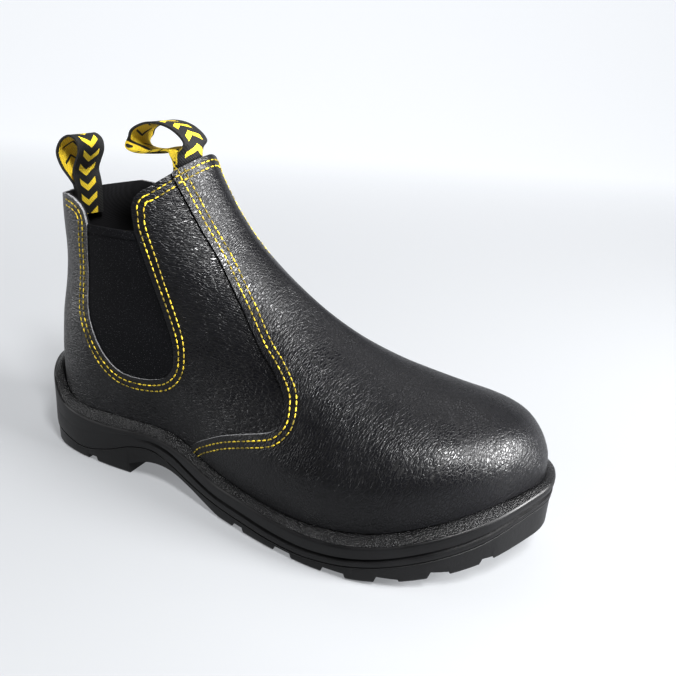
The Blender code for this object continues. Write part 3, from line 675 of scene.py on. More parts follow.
def creased(grid, facing):
    """The leather's surface with its creases pressed in and its folds raised."""
    moved = grid.copy()
    for row in CREASES:
        middle = np.array([row.reach * SOLE_LENGTH, row.height * TOE_HEIGHT])
        turn = np.radians(row.turn)
        flat = grid[:, :, [0, 2]] - middle
        along = flat[:, :, 0] * np.cos(turn) + flat[:, :, 1] * np.sin(turn)
        across = flat[:, :, 1] * np.cos(turn) - flat[:, :, 0] * np.sin(turn)
        across = across - row.bow * along * along / row.length
        fade = np.exp(-(along / (0.5 * row.length)) ** 2)
        trough = np.exp(-(across / row.width) ** 2)
        ridge = np.exp(-((np.abs(across) - RIDGE_AWAY * row.width) / row.width) ** 2)
        side = 1.0 / (1.0 + np.exp(-row.side * grid[:, :, 1] / SIDE_BLEND))
        moved += ((RIDGE_SHARE * ridge - trough) * fade * side * row.depth)[:, :, None] * facing
    return moved


def skin(points, mapped=True, painted=(), capped=False):
    """A bmesh on a grid of closed rows, each corner carried to its own point."""
    rows, count = points.shape[:2]
    shape = bmesh.new()
    bmesh.ops.create_grid(shape, x_segments=count, y_segments=rows - 1, size=1.0)
    loops = np.concatenate([points, points[:, :1]], axis=1)
    width = count + 1
    for index, vert in enumerate(shape.verts):
        vert.co = loops[index // width, index % width]
    if mapped:
        add_map(shape, loops)
    for index, face in enumerate(shape.faces):
        if index // count in painted:
            face.material_index = 1
    if capped:
        corners = shape.verts[:]
        cap(shape, corners[:count], upwards=False)
        cap(shape, corners[-width:-1], upwards=True)
    bmesh.ops.remove_doubles(shape, verts=shape.verts, dist=1e-6)
    return shape


def add_map(shape, loops):
    """A map in metres, along each row and up the rows."""
    along = np.zeros(loops.shape[:2])
    along[:, 1:] = np.cumsum(np.linalg.norm(np.diff(loops, axis=1), axis=2), axis=1)
    upward = np.zeros(loops.shape[:2])
    upward[1:] = np.cumsum(np.linalg.norm(np.diff(loops, axis=0), axis=2), axis=0)
    surface = shape.loops.layers.uv.new("Surface")
    for face in shape.faces:
        for corner in face.loops:
            place = divmod(corner.vert.index, loops.shape[1])
            corner[surface].uv = (along[place], upward[place])


def cap(shape, loop, upwards):
    """Close a loop with strips that join its outer side to its inner side."""
    half = len(loop) // 2
    outer = loop[:half + 1]
    inner = [loop[0]] + loop[:half - 1:-1]
    for index in range(half):
        corners = list(dict.fromkeys([outer[index], outer[index + 1], inner[index + 1], inner[index]]))
        if not upwards:
            corners.reverse()
        bmesh.ops.contextual_create(shape, geom=corners)


def finish_piece(name, shape, materials, smooth=SMOOTH_ANGLE):
    """Turn a bmesh into a named piece with smooth faces and sharp edges past an angle."""
    mesh = bpy.data.meshes.new(name)
    shape.to_mesh(mesh)
    shape.free()
    piece = bpy.data.objects.new(name, mesh)
    bpy.context.collection.objects.link(piece)
    for material in materials:
        mesh.materials.append(material)
    shade(piece, smooth)
    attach(piece, "root")
    return piece


def shade(piece, angle):
    """Shade a piece smooth, with edges past an angle kept sharp."""
    piece.data.shade_smooth()
    piece.data.set_sharp_from_angle(angle=np.radians(angle))


def settle(piece, smooth=SMOOTH_ANGLE):
    """Replace a piece's mesh by what its modifiers make of it."""
    bpy.context.view_layer.update()
    graph = bpy.context.evaluated_depsgraph_get()
    mesh = bpy.data.meshes.new_from_object(piece.evaluated_get(graph))
    piece.modifiers.clear()
    piece.data = mesh
    shade(piece, smooth)


def prism(path, low=-BALL_WIDTH, high=BALL_WIDTH):
    """A cutter: an outline in reach and height, extruded across the boot."""
    shape = bmesh.new()
    corners = [shape.verts.new((reach, low, height)) for reach, height in shift(path)]
    face = shape.faces.new(corners)
    sweep = bmesh.ops.extrude_face_region(shape, geom=[face])
    moved = [item for item in sweep["geom"] if isinstance(item, bmesh.types.BMVert)]
    bmesh.ops.translate(shape, verts=moved, vec=(0.0, high - low, 0.0))
    bmesh.ops.recalc_face_normals(shape, faces=shape.faces)
    return cutter_from(shape)


def cutter_from(shape):
    """A cutter object from a bmesh."""
    mesh = bpy.data.meshes.new("cutter")
    shape.to_mesh(mesh)
    shape.free()
    cutter = bpy.data.objects.new("cutter", mesh)
    bpy.context.collection.objects.link(cutter)
    return cutter


def cut(piece, cutters, operation="DIFFERENCE", smooth=SMOOTH_ANGLE):
    """Cut a piece with cutters, and remove them."""
    for cutter in cutters:
        modifier = piece.modifiers.new("Cut", "BOOLEAN")
        modifier.operation = operation
        modifier.solver = "MANIFOLD"
        modifier.object = cutter
        settle(piece, smooth)
    for cutter in cutters:
        bpy.data.objects.remove(cutter)


def shift(path):
    """A path in reach and height, counted from the origin."""
    return [(float(reach) - HEEL_TREAD_MIDDLE, float(height)) for reach, height in path]


def moved_home(grid):
    """Points counted from the origin instead of from the back of the heel."""
    return grid - (HEEL_TREAD_MIDDLE, 0.0, 0.0)


def layer(name, outside, thickness, materials):
    """A closed shell of one layer, from its outside face inwards."""
    shape = skin(outside)
    bmesh.ops.solidify(shape, geom=shape.faces[:], thickness=thickness)
    return finish_piece(name, shape, materials)


def bare_edges(piece, material):
    """Give a layer's cut edges the material of bare leather."""
    tree = surface_tree()
    piece.data.materials.append(material)
    number = len(piece.data.materials) - 1
    for face in piece.data.polygons:
        _, normal, _, _ = tree.find_nearest(face.center)
        if abs(normal.dot(face.normal)) < EDGE_TURN:
            face.material_index = number


def surface_tree():
    """A search tree over the upper's smooth outside."""
    if "tree" not in CACHE:
        shape = skin(moved_home(surfaces()[0]), mapped=False)
        CACHE["tree"] = BVHTree.FromBMesh(shape)
        shape.free()
    return CACHE["tree"]


def offset_path(path, distance):
    """A path in reach and height, moved sideways to its right."""
    along = np.gradient(path, axis=0)
    along /= np.linalg.norm(along, axis=1, keepdims=True)
    return path + np.stack([along[:, 1], -along[:, 0]], axis=1) * distance


def resample(points, spacing):
    """Points, and what else their rows hold, at an even spacing along a path."""
    steps = np.linalg.norm(np.diff(points[:, :3], axis=0), axis=1)
    run = np.concatenate([[0.0], np.cumsum(steps)])
    count = max(2, int(round(run[-1] / spacing)) + 1)
    at = np.linspace(0.0, run[-1], count)
    return np.column_stack([np.interp(at, run, points[:, axis]) for axis in range(points.shape[1])])


def lay_on(tree, path, side):
    """Points and normals where a path in reach and height meets a side of the boot."""
    places, facing = [], []
    for reach, height in path:
        start = Vector((reach, side * 0.2, height))
        hit, normal, _, _ = tree.ray_cast(start, Vector((0.0, -side, 0.0)))
        if hit is not None and side * hit.y > -0.02:
            places.append(hit[:])
            facing.append(normal[:])
    return np.array(places), np.array(facing)


def beside(tree, line, distance):
    """A line of points and normals moved sideways over the surface they lie on."""
    places, facing = line
    along = np.gradient(places, axis=0)
    across = np.cross(facing, along)
    across /= np.linalg.norm(across, axis=1, keepdims=True)
    found = [tree.find_nearest(Vector(point)) for point in places + across * distance]
    return np.array([hit[0][:] for hit in found]), np.array([hit[1][:] for hit in found])


def collar_line(grid):
    """Points along the collar's front edge, from the outer side over to the inner one."""
    tab = gore_points(TAB_EDGE)[-1]
    slope = (COLLAR_FRONT_HEIGHT - tab[1]) / (COLLAR_FRONT_REACH - tab[0])
    above = grid[:, :, 2] - COLLAR_FRONT_HEIGHT - slope * (grid[:, :, 0] - COLLAR_FRONT_REACH)
    places = []
    for column_number in range(grid.shape[1]):
        row = int(np.argmax(above[:, column_number] > 0.0))
        if row == 0:
            continue
        low, high = above[row - 1, column_number], above[row, column_number]
        share = low / (low - high)
        spot = grid[row - 1, column_number] * (1.0 - share) + grid[row, column_number] * share
        if spot[0] > tab[0]:
            places.append(spot)
    return np.array(places)


def tree_of(name):
    """A search tree over a named piece."""
    shape = bmesh.new()
    shape.from_mesh(bpy.data.objects[name].data)
    tree = BVHTree.FromBMesh(shape)
    shape.free()
    return tree


def sew(name, lines, sizes, material):
    """One piece of all the stitches along some lines."""
    shape = bmesh.new()
    radius = 0.5 * sizes.thread_width
    size = Matrix.Diagonal((0.5 * sizes.stitch_length, radius, THREAD_FLAT * radius, 1.0))
    lying = size @ Matrix.Rotation(np.pi / 2, 4, "Y")
    for places, facing in lines:
        even = resample(np.hstack([places, facing]), sizes.stitch_pitch)
        for row, way in zip(even, np.gradient(even[:, :3], axis=0)):
            forward = Vector(way).normalized()
            across = Vector(row[3:]).cross(forward).normalized()
            up = forward.cross(across)
            turn = Matrix((forward, across, up)).transposed().to_4x4()
            spot = Matrix.Translation(Vector(row[:3]) + up * THREAD_LIFT * sizes.thread_width)
            bmesh.ops.create_uvsphere(shape, u_segments=8, v_segments=6, radius=1.0,
                                      matrix=spot @ turn @ lying)
    return finish_piece(name, shape, [material])


def gore_frame():
    """The opening's edge from the heel's collar round and up to the collar's front."""
    gore = gore_points(GORE_EDGE)
    corner = gore[0]
    drop = COLLAR_BACK_HEIGHT - corner[1]
    back = [(corner[0] - row.along * drop, corner[1] + row.up * drop) for row in COLLAR_EDGE]
    front = [(COLLAR_FRONT_REACH, COLLAR_FRONT_HEIGHT)]
    return smooth_path(back + gore + gore_points(TAB_EDGE) + front, 6)


def new_material(name, roughness, colour=None, specular=0.5):
    """A material and its shader, with the shader's own sockets set."""
    material = bpy.data.materials.new(name)
    material.use_nodes = True
    shader = material.node_tree.nodes["Principled BSDF"]
    shader.inputs["Roughness"].default_value = roughness
    shader.inputs["Specular IOR Level"].default_value = specular
    if colour is not None:
        shader.inputs["Base Color"].default_value = (*colour, 1.0)
    return material, shader


class Nodes:
    """Adds nodes to one material, each linked as it is made."""

    def __init__(self, material):
        self.tree = material.node_tree

    def add(self, kind, inputs=(), output=0, **settings):
        node = self.tree.nodes.new(kind)
        for key, value in settings.items():
            setattr(node, key, value)
        for key, value in dict(inputs).items():
            if isinstance(value, bpy.types.NodeSocket):
                self.tree.links.new(value, node.inputs[key])
            else:
                node.inputs[key].default_value = value
        return node.outputs[output]

    def place(self, turn=0.0, source="Object"):
        """Coordinates of the piece or of its map, turned about Z."""
        if source == "Object":
            start = self.add("ShaderNodeTexCoord", output=3)
        else:
            start = self.add("ShaderNodeUVMap", uv_map="Surface")
        return self.add("ShaderNodeMapping", {"Vector": start, "Rotation": (0.0, 0.0, turn)})

    def drawn(self, vector, axis, stretch):
        """Coordinates that draw a pattern out along an axis by a factor."""
        unit = np.array(axis) / np.linalg.norm(axis)
        along = self.add("ShaderNodeVectorMath", {0: vector, 1: tuple(unit)}, 1, operation="DOT_PRODUCT")
        step = tuple((1.0 / stretch - 1.0) * unit)
        return self.add("ShaderNodeVectorMath", {0: along, 1: step, 2: vector}, operation="MULTIPLY_ADD")

    def noise(self, vector, scale, detail=3.0, roughness=0.55, output=0):
        return self.add("ShaderNodeTexNoise", {"Vector": vector, "Scale": scale, "Detail": detail,
                                               "Roughness": roughness}, output)

    def cells(self, vector, scale):
        """Distance to the borders of irregular cells."""
        return self.add("ShaderNodeTexVoronoi", {"Vector": vector, "Scale": scale},
                        feature="DISTANCE_TO_EDGE")

    def ramp(self, value, low, high, start=0.0, end=1.0):
        return self.add("ShaderNodeMapRange", {"Value": value, "From Min": low, "From Max": high,
                                               "To Min": start, "To Max": end})

    def maths(self, operation, first, second=0.5):
        return self.add("ShaderNodeMath", {0: first, 1: second}, operation=operation)

    def mix(self, factor, first, second):
        return self.add("ShaderNodeMix", {0: factor, 6: first, 7: second}, output=2, data_type="RGBA")

    def bump(self, height, depth, below=None):
        inputs = {"Height": height, "Distance": depth, "Strength": 1.0}
        if below is not None:
            inputs["Normal"] = below
        return self.add("ShaderNodeBump", inputs)

    def link(self, value, shader, name):
        self.tree.links.new(value, shader.inputs[name])


def leather(name, sizes, colours, axis, stretch, width, depth=1.0):
    """Black milled leather whose pebbles and wrinkles are drawn out one way."""
    material, shader = new_material(name, 0.30, specular=0.42)
    nodes = Nodes(material)
    spot = nodes.place()
    drift = nodes.noise(spot, 90.0, 1.0, output=1)
    bent = nodes.add("ShaderNodeMix", {0: 0.003, 4: spot, 5: drift}, output=1, data_type="VECTOR")
    drawn = nodes.drawn(bent, axis, stretch)
    pebbles = nodes.cells(drawn, 1.0 / (width * sizes.grain))
    islands = nodes.ramp(pebbles, 0.0, 0.20)
    longer = nodes.drawn(bent, axis, stretch * (1.6 if stretch > 1.0 else 0.65))
    wrinkles = nodes.cells(longer, 0.42 / (width * sizes.grain))
    folds = nodes.ramp(wrinkles, 0.0, 0.16)
    patches = nodes.noise(spot, 34.0, 3.0)
    strength = nodes.ramp(patches, 0.36, 0.64, 0.15, 1.0)
    pores = nodes.noise(spot, 2600.0, 2.0)
    deep = nodes.bump(nodes.maths("MULTIPLY", folds, strength), depth * sizes.wrinkle_depth)
    grained = nodes.bump(islands, depth * sizes.grain_depth, deep)
    fine = nodes.bump(pores, 0.000012, grained)
    nodes.link(fine, shader, "Normal")
    dull = nodes.ramp(islands, 0.0, 1.0, 0.20, 0.0)
    shine = nodes.maths("ADD", nodes.ramp(patches, 0.3, 0.7, 0.24, 0.34), dull)
    nodes.link(shine, shader, "Roughness")
    # Painted shade and painted sheen: the colour is darker in the grooves between the pebbles and lighter
    # on the pebble tops
    dark = (*[channel * 0.4 for channel in colours.leather], 1.0)
    wear_and_sheen = (*[channel * 1.2 for channel in colours.leather], 1.0)
    nodes.link(nodes.mix(islands, dark, wear_and_sheen), shader, "Base Color")
    return material


def raw_edge(colours):
    """The fibrous cut edge of leather."""
    material, shader = new_material("Raw leather edge", 0.85)
    nodes = Nodes(material)
    fibres = nodes.noise(nodes.place(), 900.0, 5.0, 0.7)
    light = (*colours.raw_edge, 1.0)
    dark = (*[channel * 0.25 for channel in colours.raw_edge], 1.0)
    nodes.link(nodes.mix(nodes.ramp(fibres, 0.35, 0.65), dark, light), shader, "Base Color")
    nodes.link(nodes.bump(fibres, 0.0004), shader, "Normal")
    return material


def woven(name, colour, pitch, depth, fleck=0.0, source="Map", roughness=0.85):
    """Plain weave at a given thread pitch, with lighter flecks where asked."""
    material, shader = new_material(name, roughness, specular=0.2)
    nodes = Nodes(material)
    surface = nodes.place(source=source)
    turns = np.pi / pitch
    warp = nodes.add("ShaderNodeSeparateXYZ", {"Vector": surface})
    weft = nodes.add("ShaderNodeSeparateXYZ", {"Vector": surface}, output=1 if source == "Map" else 2)
    across = nodes.maths("SINE", nodes.maths("MULTIPLY", warp, turns))
    along = nodes.maths("SINE", nodes.maths("MULTIPLY", weft, turns))
    weave = nodes.maths("MULTIPLY", across, along)
    fuzz = nodes.noise(surface, 1500.0, 3.0)
    height = nodes.maths("ADD", nodes.maths("MULTIPLY", weave, 0.5), fuzz)
    nodes.link(nodes.bump(height, depth), shader, "Normal")
    light = nodes.ramp(nodes.noise(surface, 1500.0, 1.0), 0.66, 0.74, 0.0, fleck)
    shadow = nodes.mix(nodes.ramp(weave, -1.0, 1.0, 0.45, 0.0), (*colour, 1.0), (0.0, 0.0, 0.0, 1.0))
    nodes.link(nodes.mix(light, shadow, (0.22, 0.22, 0.23, 1.0)), shader, "Base Color")
    return material


def moulded(name, colour, roughness, grain, depth):
    """Black polyurethane with a fine moulded grain."""
    material, shader = new_material(name, roughness, specular=0.35)
    nodes = Nodes(material)
    spot = nodes.place()
    fine = nodes.noise(spot, 1.0 / grain, 3.0, 0.6)
    broad = nodes.noise(spot, 45.0, 3.0)
    nodes.link(nodes.bump(fine, depth), shader, "Normal")
    nodes.link(nodes.ramp(broad, 0.3, 0.7, roughness - 0.06, roughness + 0.10), shader, "Roughness")
    light = (*[channel * 1.8 for channel in colour], 1.0)
    nodes.link(nodes.mix(nodes.ramp(broad, 0.35, 0.75), (*colour, 1.0), light), shader, "Base Color")
    return material


def webbing_face(name, sizes, ground, marks, share):
    """Ribbed webbing with dark selvedges and plain marks woven along its middle."""
    material, shader = new_material(name, 0.75)
    nodes = Nodes(material)
    surface = nodes.place(source="Map")
    across = nodes.add("ShaderNodeSeparateXYZ", {"Vector": surface})
    along = nodes.add("ShaderNodeSeparateXYZ", {"Vector": surface}, output=1)
    face_width = STRAP_WIDTH + STRAP_THICKNESS
    lane = nodes.maths("FRACT", nodes.maths("DIVIDE", across, face_width))
    middle = nodes.maths("ABSOLUTE", nodes.maths("SUBTRACT", lane, 0.5 * STRAP_WIDTH / face_width))
    steps = nodes.maths("DIVIDE", along, sizes.mark_pitch)
    slant = nodes.maths("ADD", steps, nodes.maths("MULTIPLY", middle, 1.6))
    bars = nodes.maths("LESS_THAN", nodes.maths("FRACT", slant), share)
    inside = nodes.maths("LESS_THAN", middle, 0.29)
    drawn = nodes.maths("MULTIPLY", bars, inside)
    turns = np.pi / sizes.weave
    ribs = nodes.maths("MULTIPLY", nodes.maths("SINE", nodes.maths("MULTIPLY", across, turns)),
                       nodes.maths("SINE", nodes.maths("MULTIPLY", along, turns)))
    nodes.link(nodes.bump(ribs, 0.00010), shader, "Normal")
    woven_colour = nodes.mix(drawn, (*ground, 1.0), (*marks, 1.0))
    selvedge = nodes.maths("GREATER_THAN", middle, 0.425)
    edged = nodes.mix(selvedge, woven_colour, (0.012, 0.012, 0.012, 1.0))
    shadow = nodes.ramp(ribs, -1.0, 0.2, 0.35, 0.0)
    nodes.link(nodes.mix(shadow, edged, (0.0, 0.0, 0.0, 1.0)), shader, "Base Color")
    return material


class BootSizes(PropertyGroup):
    """Sizes of the boot's surface detail."""

    leather_thickness: FloatProperty(name="Leather thickness", default=0.0015, unit="LENGTH",
                                     description="Thickness of the quarters' leather")
    grain: FloatProperty(name="Grain", description="Width of the leather's pebbles", default=0.0011,
                         unit="LENGTH")
    grain_depth: FloatProperty(name="Grain depth", description="Depth between the leather's pebbles",
                               default=0.00007, unit="LENGTH")
    wrinkle_depth: FloatProperty(name="Wrinkle depth", description="Depth of the leather's fine wrinkles",
                                 default=0.00012, unit="LENGTH")
    thread_width: FloatProperty(name="Thread width", description="Width of the sewing thread",
                                default=0.0009, unit="LENGTH")
    stitch_length: FloatProperty(name="Stitch length", description="Length of one stitch",
                                 default=0.0026, unit="LENGTH")
    stitch_pitch: FloatProperty(name="Stitch pitch", description="Distance from one stitch to the next",
                                default=0.0032, unit="LENGTH")
    first_row: FloatProperty(name="First row", description="Distance of the first stitch row from an edge",
                             default=0.0025, unit="LENGTH")
    row_spacing: FloatProperty(name="Row spacing", description="Distance between two stitch rows",
                               default=0.0033, unit="LENGTH")
    hem: FloatProperty(name="Hem", description="Height of the hem at the elastic's top", default=0.004,
                       unit="LENGTH")
    weave: FloatProperty(name="Weave", description="Pitch of the webbing's threads", default=0.0008,
                         unit="LENGTH")
    mark_pitch: FloatProperty(name="Mark pitch", description="Distance between the webbing's yellow marks",
                              default=0.0085, unit="LENGTH")


class BootColours(PropertyGroup):
    """Colours of the boot's materials."""

    leather: FloatVectorProperty(name="Leather", description="Black leather", subtype="COLOR", size=3,
                                 default=(0.0065, 0.0065, 0.008))
    raw_edge: FloatVectorProperty(name="Raw edge", description="Cut edges of the leather", subtype="COLOR",
                                  size=3, default=(0.30, 0.30, 0.31))
    elastic: FloatVectorProperty(name="Elastic", description="Elastic side panels", subtype="COLOR", size=3,
                                 default=(0.0045, 0.005, 0.007))
    lining: FloatVectorProperty(name="Lining", description="Textile lining", subtype="COLOR", size=3,
                                default=(0.016, 0.016, 0.018))
    thread: FloatVectorProperty(name="Thread", description="Yellow thread and webbing", subtype="COLOR",
                                size=3, default=(0.72, 0.55, 0.045))
    webbing: FloatVectorProperty(name="Webbing", description="Black webbing", subtype="COLOR", size=3,
                                 default=(0.012, 0.012, 0.012))
    sole: FloatVectorProperty(name="Sole", description="Black polyurethane", subtype="COLOR", size=3,
                              default=(0.007, 0.007, 0.0075))
    floor: FloatVectorProperty(name="Floor", description="Floor and backdrop", subtype="COLOR", size=3,
                               default=(0.95, 0.97, 1.0))


CACHE = {}


def surfaces():
    """The upper's outside and its normals, fine enough to show in a close view."""
    if "outside" not in CACHE:
        grid = fine_rows(upper_surface(FINE_STATIONS), FINE_ROWS)
        facing = normals(grid)
        CACHE["outside"] = (grid, facing)
    return CACHE["outside"]


def above_cutter():
    """Everything above the collar and within the side openings."""
    return prism(top_line())


class BOOT_OT_upper(Operator):
    """Make the quarters' leather and the lining inside it"""

    bl_idname = "boot.upper"
    bl_label = "Quarters and lining"

    def execute(self, context):
        sizes, colours = context.scene.boot_sizes, context.scene.boot_colours
        grid, facing = surfaces()
        hide = leather("Quarter leather", sizes, colours, (0.06, 0.0, 1.0), 0.33, 2.9, 1.5)
        fibres = raw_edge(colours)
        outside = moved_home(creased(grid, facing))
        quarters = layer("quarters", outside, sizes.leather_thickness, [hide])
        cut(quarters, [above_cutter()])
        area = [tuple(point) for point in vamp_outline() + UNDERLAP]
        ahead = TOE_FRONT_REACH + BEYOND
        area += [(area[-1][0], -BEYOND), (ahead, -BEYOND), (ahead, area[0][1])]
        cut(quarters, [prism(area)])
        bare_edges(quarters, fibres)
        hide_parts("upper")
        cloth = woven("Textile lining", colours.lining, 0.0009, 0.00010, source="Map")
        inside = moved_home(grid - (sizes.leather_thickness + 0.0001) * facing)
        lining = layer("lining", inside, WALL - sizes.leather_thickness, [cloth])
        cut(lining, [above_cutter()])
        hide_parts("upper")
        return {"FINISHED"}


class BOOT_OT_vamp(Operator):
    """Make the front panel that is laid over the quarters"""

    bl_idname = "boot.vamp"
    bl_label = "Vamp"

    def execute(self, context):
        sizes, colours = context.scene.boot_sizes, context.scene.boot_colours
        grid, facing = surfaces()
        start = int(np.argmin(np.abs(np.mean(grid[:, :, 2] - side_height(grid[:, :, 0], "rim"), axis=1))))
        hide = leather("Vamp leather", sizes, colours, (0.30, 0.60, 0.70), 2.6, 1.0)
        outside = creased(grid, facing) + (GAP + PANEL) * facing
        vamp = layer("vamp_leather", moved_home(outside[start:]), PANEL, [hide])
        area = [tuple(point) for point in smooth_path(vamp_outline()[::2], SEAM_STEPS)]
        ahead = TOE_FRONT_REACH + BEYOND
        area += [(area[-1][0], 0.0), (ahead, 0.0), (ahead, area[0][1])]
        cut(vamp, [prism(area)], "INTERSECT")
        cut(vamp, [above_cutter()])
        bare_edges(vamp, raw_edge(colours))
        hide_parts("vamp")
        return {"FINISHED"}


class BOOT_OT_heel_strip(Operator):
    """Make the narrow stay over the heel's seam"""

    bl_idname = "boot.heel_strip"
    bl_label = "Heel strip"

    def execute(self, context):
        sizes, colours = context.scene.boot_sizes, context.scene.boot_colours
        grid, facing = surfaces()
        start = int(np.argmin(np.abs(grid[:, 0, 2] - side_height(np.array(0.0), "rim")))) + 1
        hide = leather("Stay leather", sizes, colours, (0.0, 0.0, 1.0), 0.5, 1.8)
        outside = grid + (GAP + STRIP_THICKNESS) * facing
        strip = layer("heel_stay", moved_home(outside[start:]), STRIP_THICKNESS, [hide])
        ahead = 0.5 * COLLAR_FRONT_REACH
        area = [(-BEYOND, 0.0), (ahead, 0.0), (ahead, COLLAR_FRONT_HEIGHT), (-BEYOND, COLLAR_FRONT_HEIGHT)]
        cut(strip, [prism(area, -0.5 * STRIP_WIDTH, 0.5 * STRIP_WIDTH)], "INTERSECT")
        cut(strip, [above_cutter()])
        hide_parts("heel_strip")
        return {"FINISHED"}


class BOOT_OT_gores(Operator):
    """Make the elastic side panels and their hems"""

    bl_idname = "boot.gores"
    bl_label = "Elastic panels"

    def execute(self, context):
        sizes, colours = context.scene.boot_sizes, context.scene.boot_colours
        grid, facing = surfaces()
        cloth = woven("Elastic webbing", colours.elastic, 0.0007, 0.00008, fleck=0.5)
        gore = gore_outline(GAP)
        top = gore[0][1] - sizes.hem
        band = [(gore[0][0] - 0.004, top), (gore[-1][0] + 0.004, top), (gore[-1][0] + 0.004, 0.16),
                (gore[0][0] - 0.004, 0.16)]
        for name, side in (("lateral", -1.0), ("medial", 1.0)):
            low, high = sorted((0.0, side * SHAFT_WIDTH))
            panel = layer("elastic_" + name, moved_home(grid - GORE_RECESS * facing), GORE_THICKNESS,
                          [cloth])
            cut(panel, [prism(gore, low, high)], "INTERSECT")
            sunk = moved_home(grid - (GORE_RECESS - HEM_THICKNESS) * facing)
            hem = layer("hem_" + name, sunk, HEM_THICKNESS, [cloth])
            cut(hem, [prism(gore_outline(2.0 * GAP), low, high)], "INTERSECT")
            cut(hem, [prism(band, low, high)], "INTERSECT")
            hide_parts("gore_" + name)
        return {"FINISHED"}


class BOOT_OT_stitching(Operator):
    """Sew the double rows round the side openings, the collar's front and the vamp"""

    bl_idname = "boot.stitching"
    bl_label = "Stitching"

    def execute(self, context):
        sizes, colours = context.scene.boot_sizes, context.scene.boot_colours
        material, shader = new_material("Yellow thread", 0.6)
        nodes = Nodes(material)
        wear = nodes.noise(nodes.place(), 160.0, 3.0)
        dark = (*[channel * 0.22 for channel in colours.thread], 1.0)
        wear_and_sheen = nodes.mix(nodes.ramp(wear, 0.42, 0.62), dark, (*colours.thread, 1.0))
        nodes.link(wear_and_sheen, shader, "Base Color")
        quarter_tree, vamp_tree = tree_of("quarters"), tree_of("vamp_leather")
        opening = gore_frame()
        seam = smooth_path(vamp_outline()[::2], SEAM_STEPS)
        order = np.argsort(seam[:, 1])
        rows = (sizes.first_row, sizes.first_row + sizes.row_spacing)
        grid, _ = surfaces()
        front = resample(moved_home(collar_line(grid)), FINE_STEP)
        outer = surface_tree()
        away = np.array([outer.find_nearest(Vector(point))[1][:] for point in front])
        rim = (front + (GAP + 2.0 * PANEL) * away, away)
        over = [beside(vamp_tree, rim, -distance) for distance in rows]
        seam_reach = np.interp(over[0][0][:, 2], seam[order, 1], seam[order, 0]) - HEEL_TREAD_MIDDLE
        ahead = over[0][0][:, 0] > seam_reach + SEAM_CLEAR
        over = [(places[ahead], turned[ahead]) for places, turned in over]
        sew("collar_stitches", over, sizes, material)
        for name, side in (("lateral", -1.0), ("medial", 1.0)):
            edge = offset_path(opening, EDGE_CLEAR)
            limit = np.interp(edge[:, 1], seam[order, 1], seam[order, 0])
            keep = (edge[:, 1] < 0.15) | (edge[:, 0] < limit - SEAM_CLEAR)
            line = lay_on(quarter_tree, shift(edge[keep]), side)
            gore_lines = [beside(quarter_tree, line, side * distance) for distance in rows]
            sew("gore_stitches_" + name, gore_lines, sizes, material)
            edge = offset_path(seam, -EDGE_CLEAR)
            keep = (edge[:, 1] > 0.026) & (edge[:, 1] < 0.1685)
            line = lay_on(vamp_tree, shift(edge[keep]), side)
            vamp_lines = [beside(vamp_tree, line, -side * distance) for distance in rows]
            sew("vamp_stitches_" + name, vamp_lines, sizes, material)
        low = opening[np.argmin(opening[:, 1])]
        start = low[1] - sizes.first_row - sizes.row_spacing - 0.002
        ends = [(low[0], start), (low[0] + 0.004, low[1] - 0.026)]
        line = lay_on(quarter_tree, shift(ends), 1.0)
        halves = [beside(quarter_tree, line, side * 0.5 * sizes.row_spacing) for side in (-1.0, 1.0)]
        sew("side_seam_stitches", halves, sizes, material)
        return {"FINISHED"}


class BOOT_OT_midsole(Operator):
    """Make the foam unit with its grained rim, bead, groove and lower band"""

    bl_idname = "boot.midsole"
    bl_label = "Midsole"

    def execute(self, context):
        colours = context.scene.boot_colours
        coarse = upper_surface(SOLE_STATIONS)
        rows = midsole_rows(coarse, normals(coarse))
        smooth = moulded("Foamed sole", colours.sole, 0.42, 0.0009, 0.00006)
        grained = moulded("Grained rim", colours.sole, 0.26, 0.0009, 0.00080)
        shape = skin(moved_home(np.array(rows)), mapped=False, painted=range(len(rows) - 11, len(rows) - 3),
                     capped=True)
        piece = finish_piece("foam_unit", shape, [smooth, grained], 40.0)
        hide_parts("midsole")
        return {"FINISHED"}


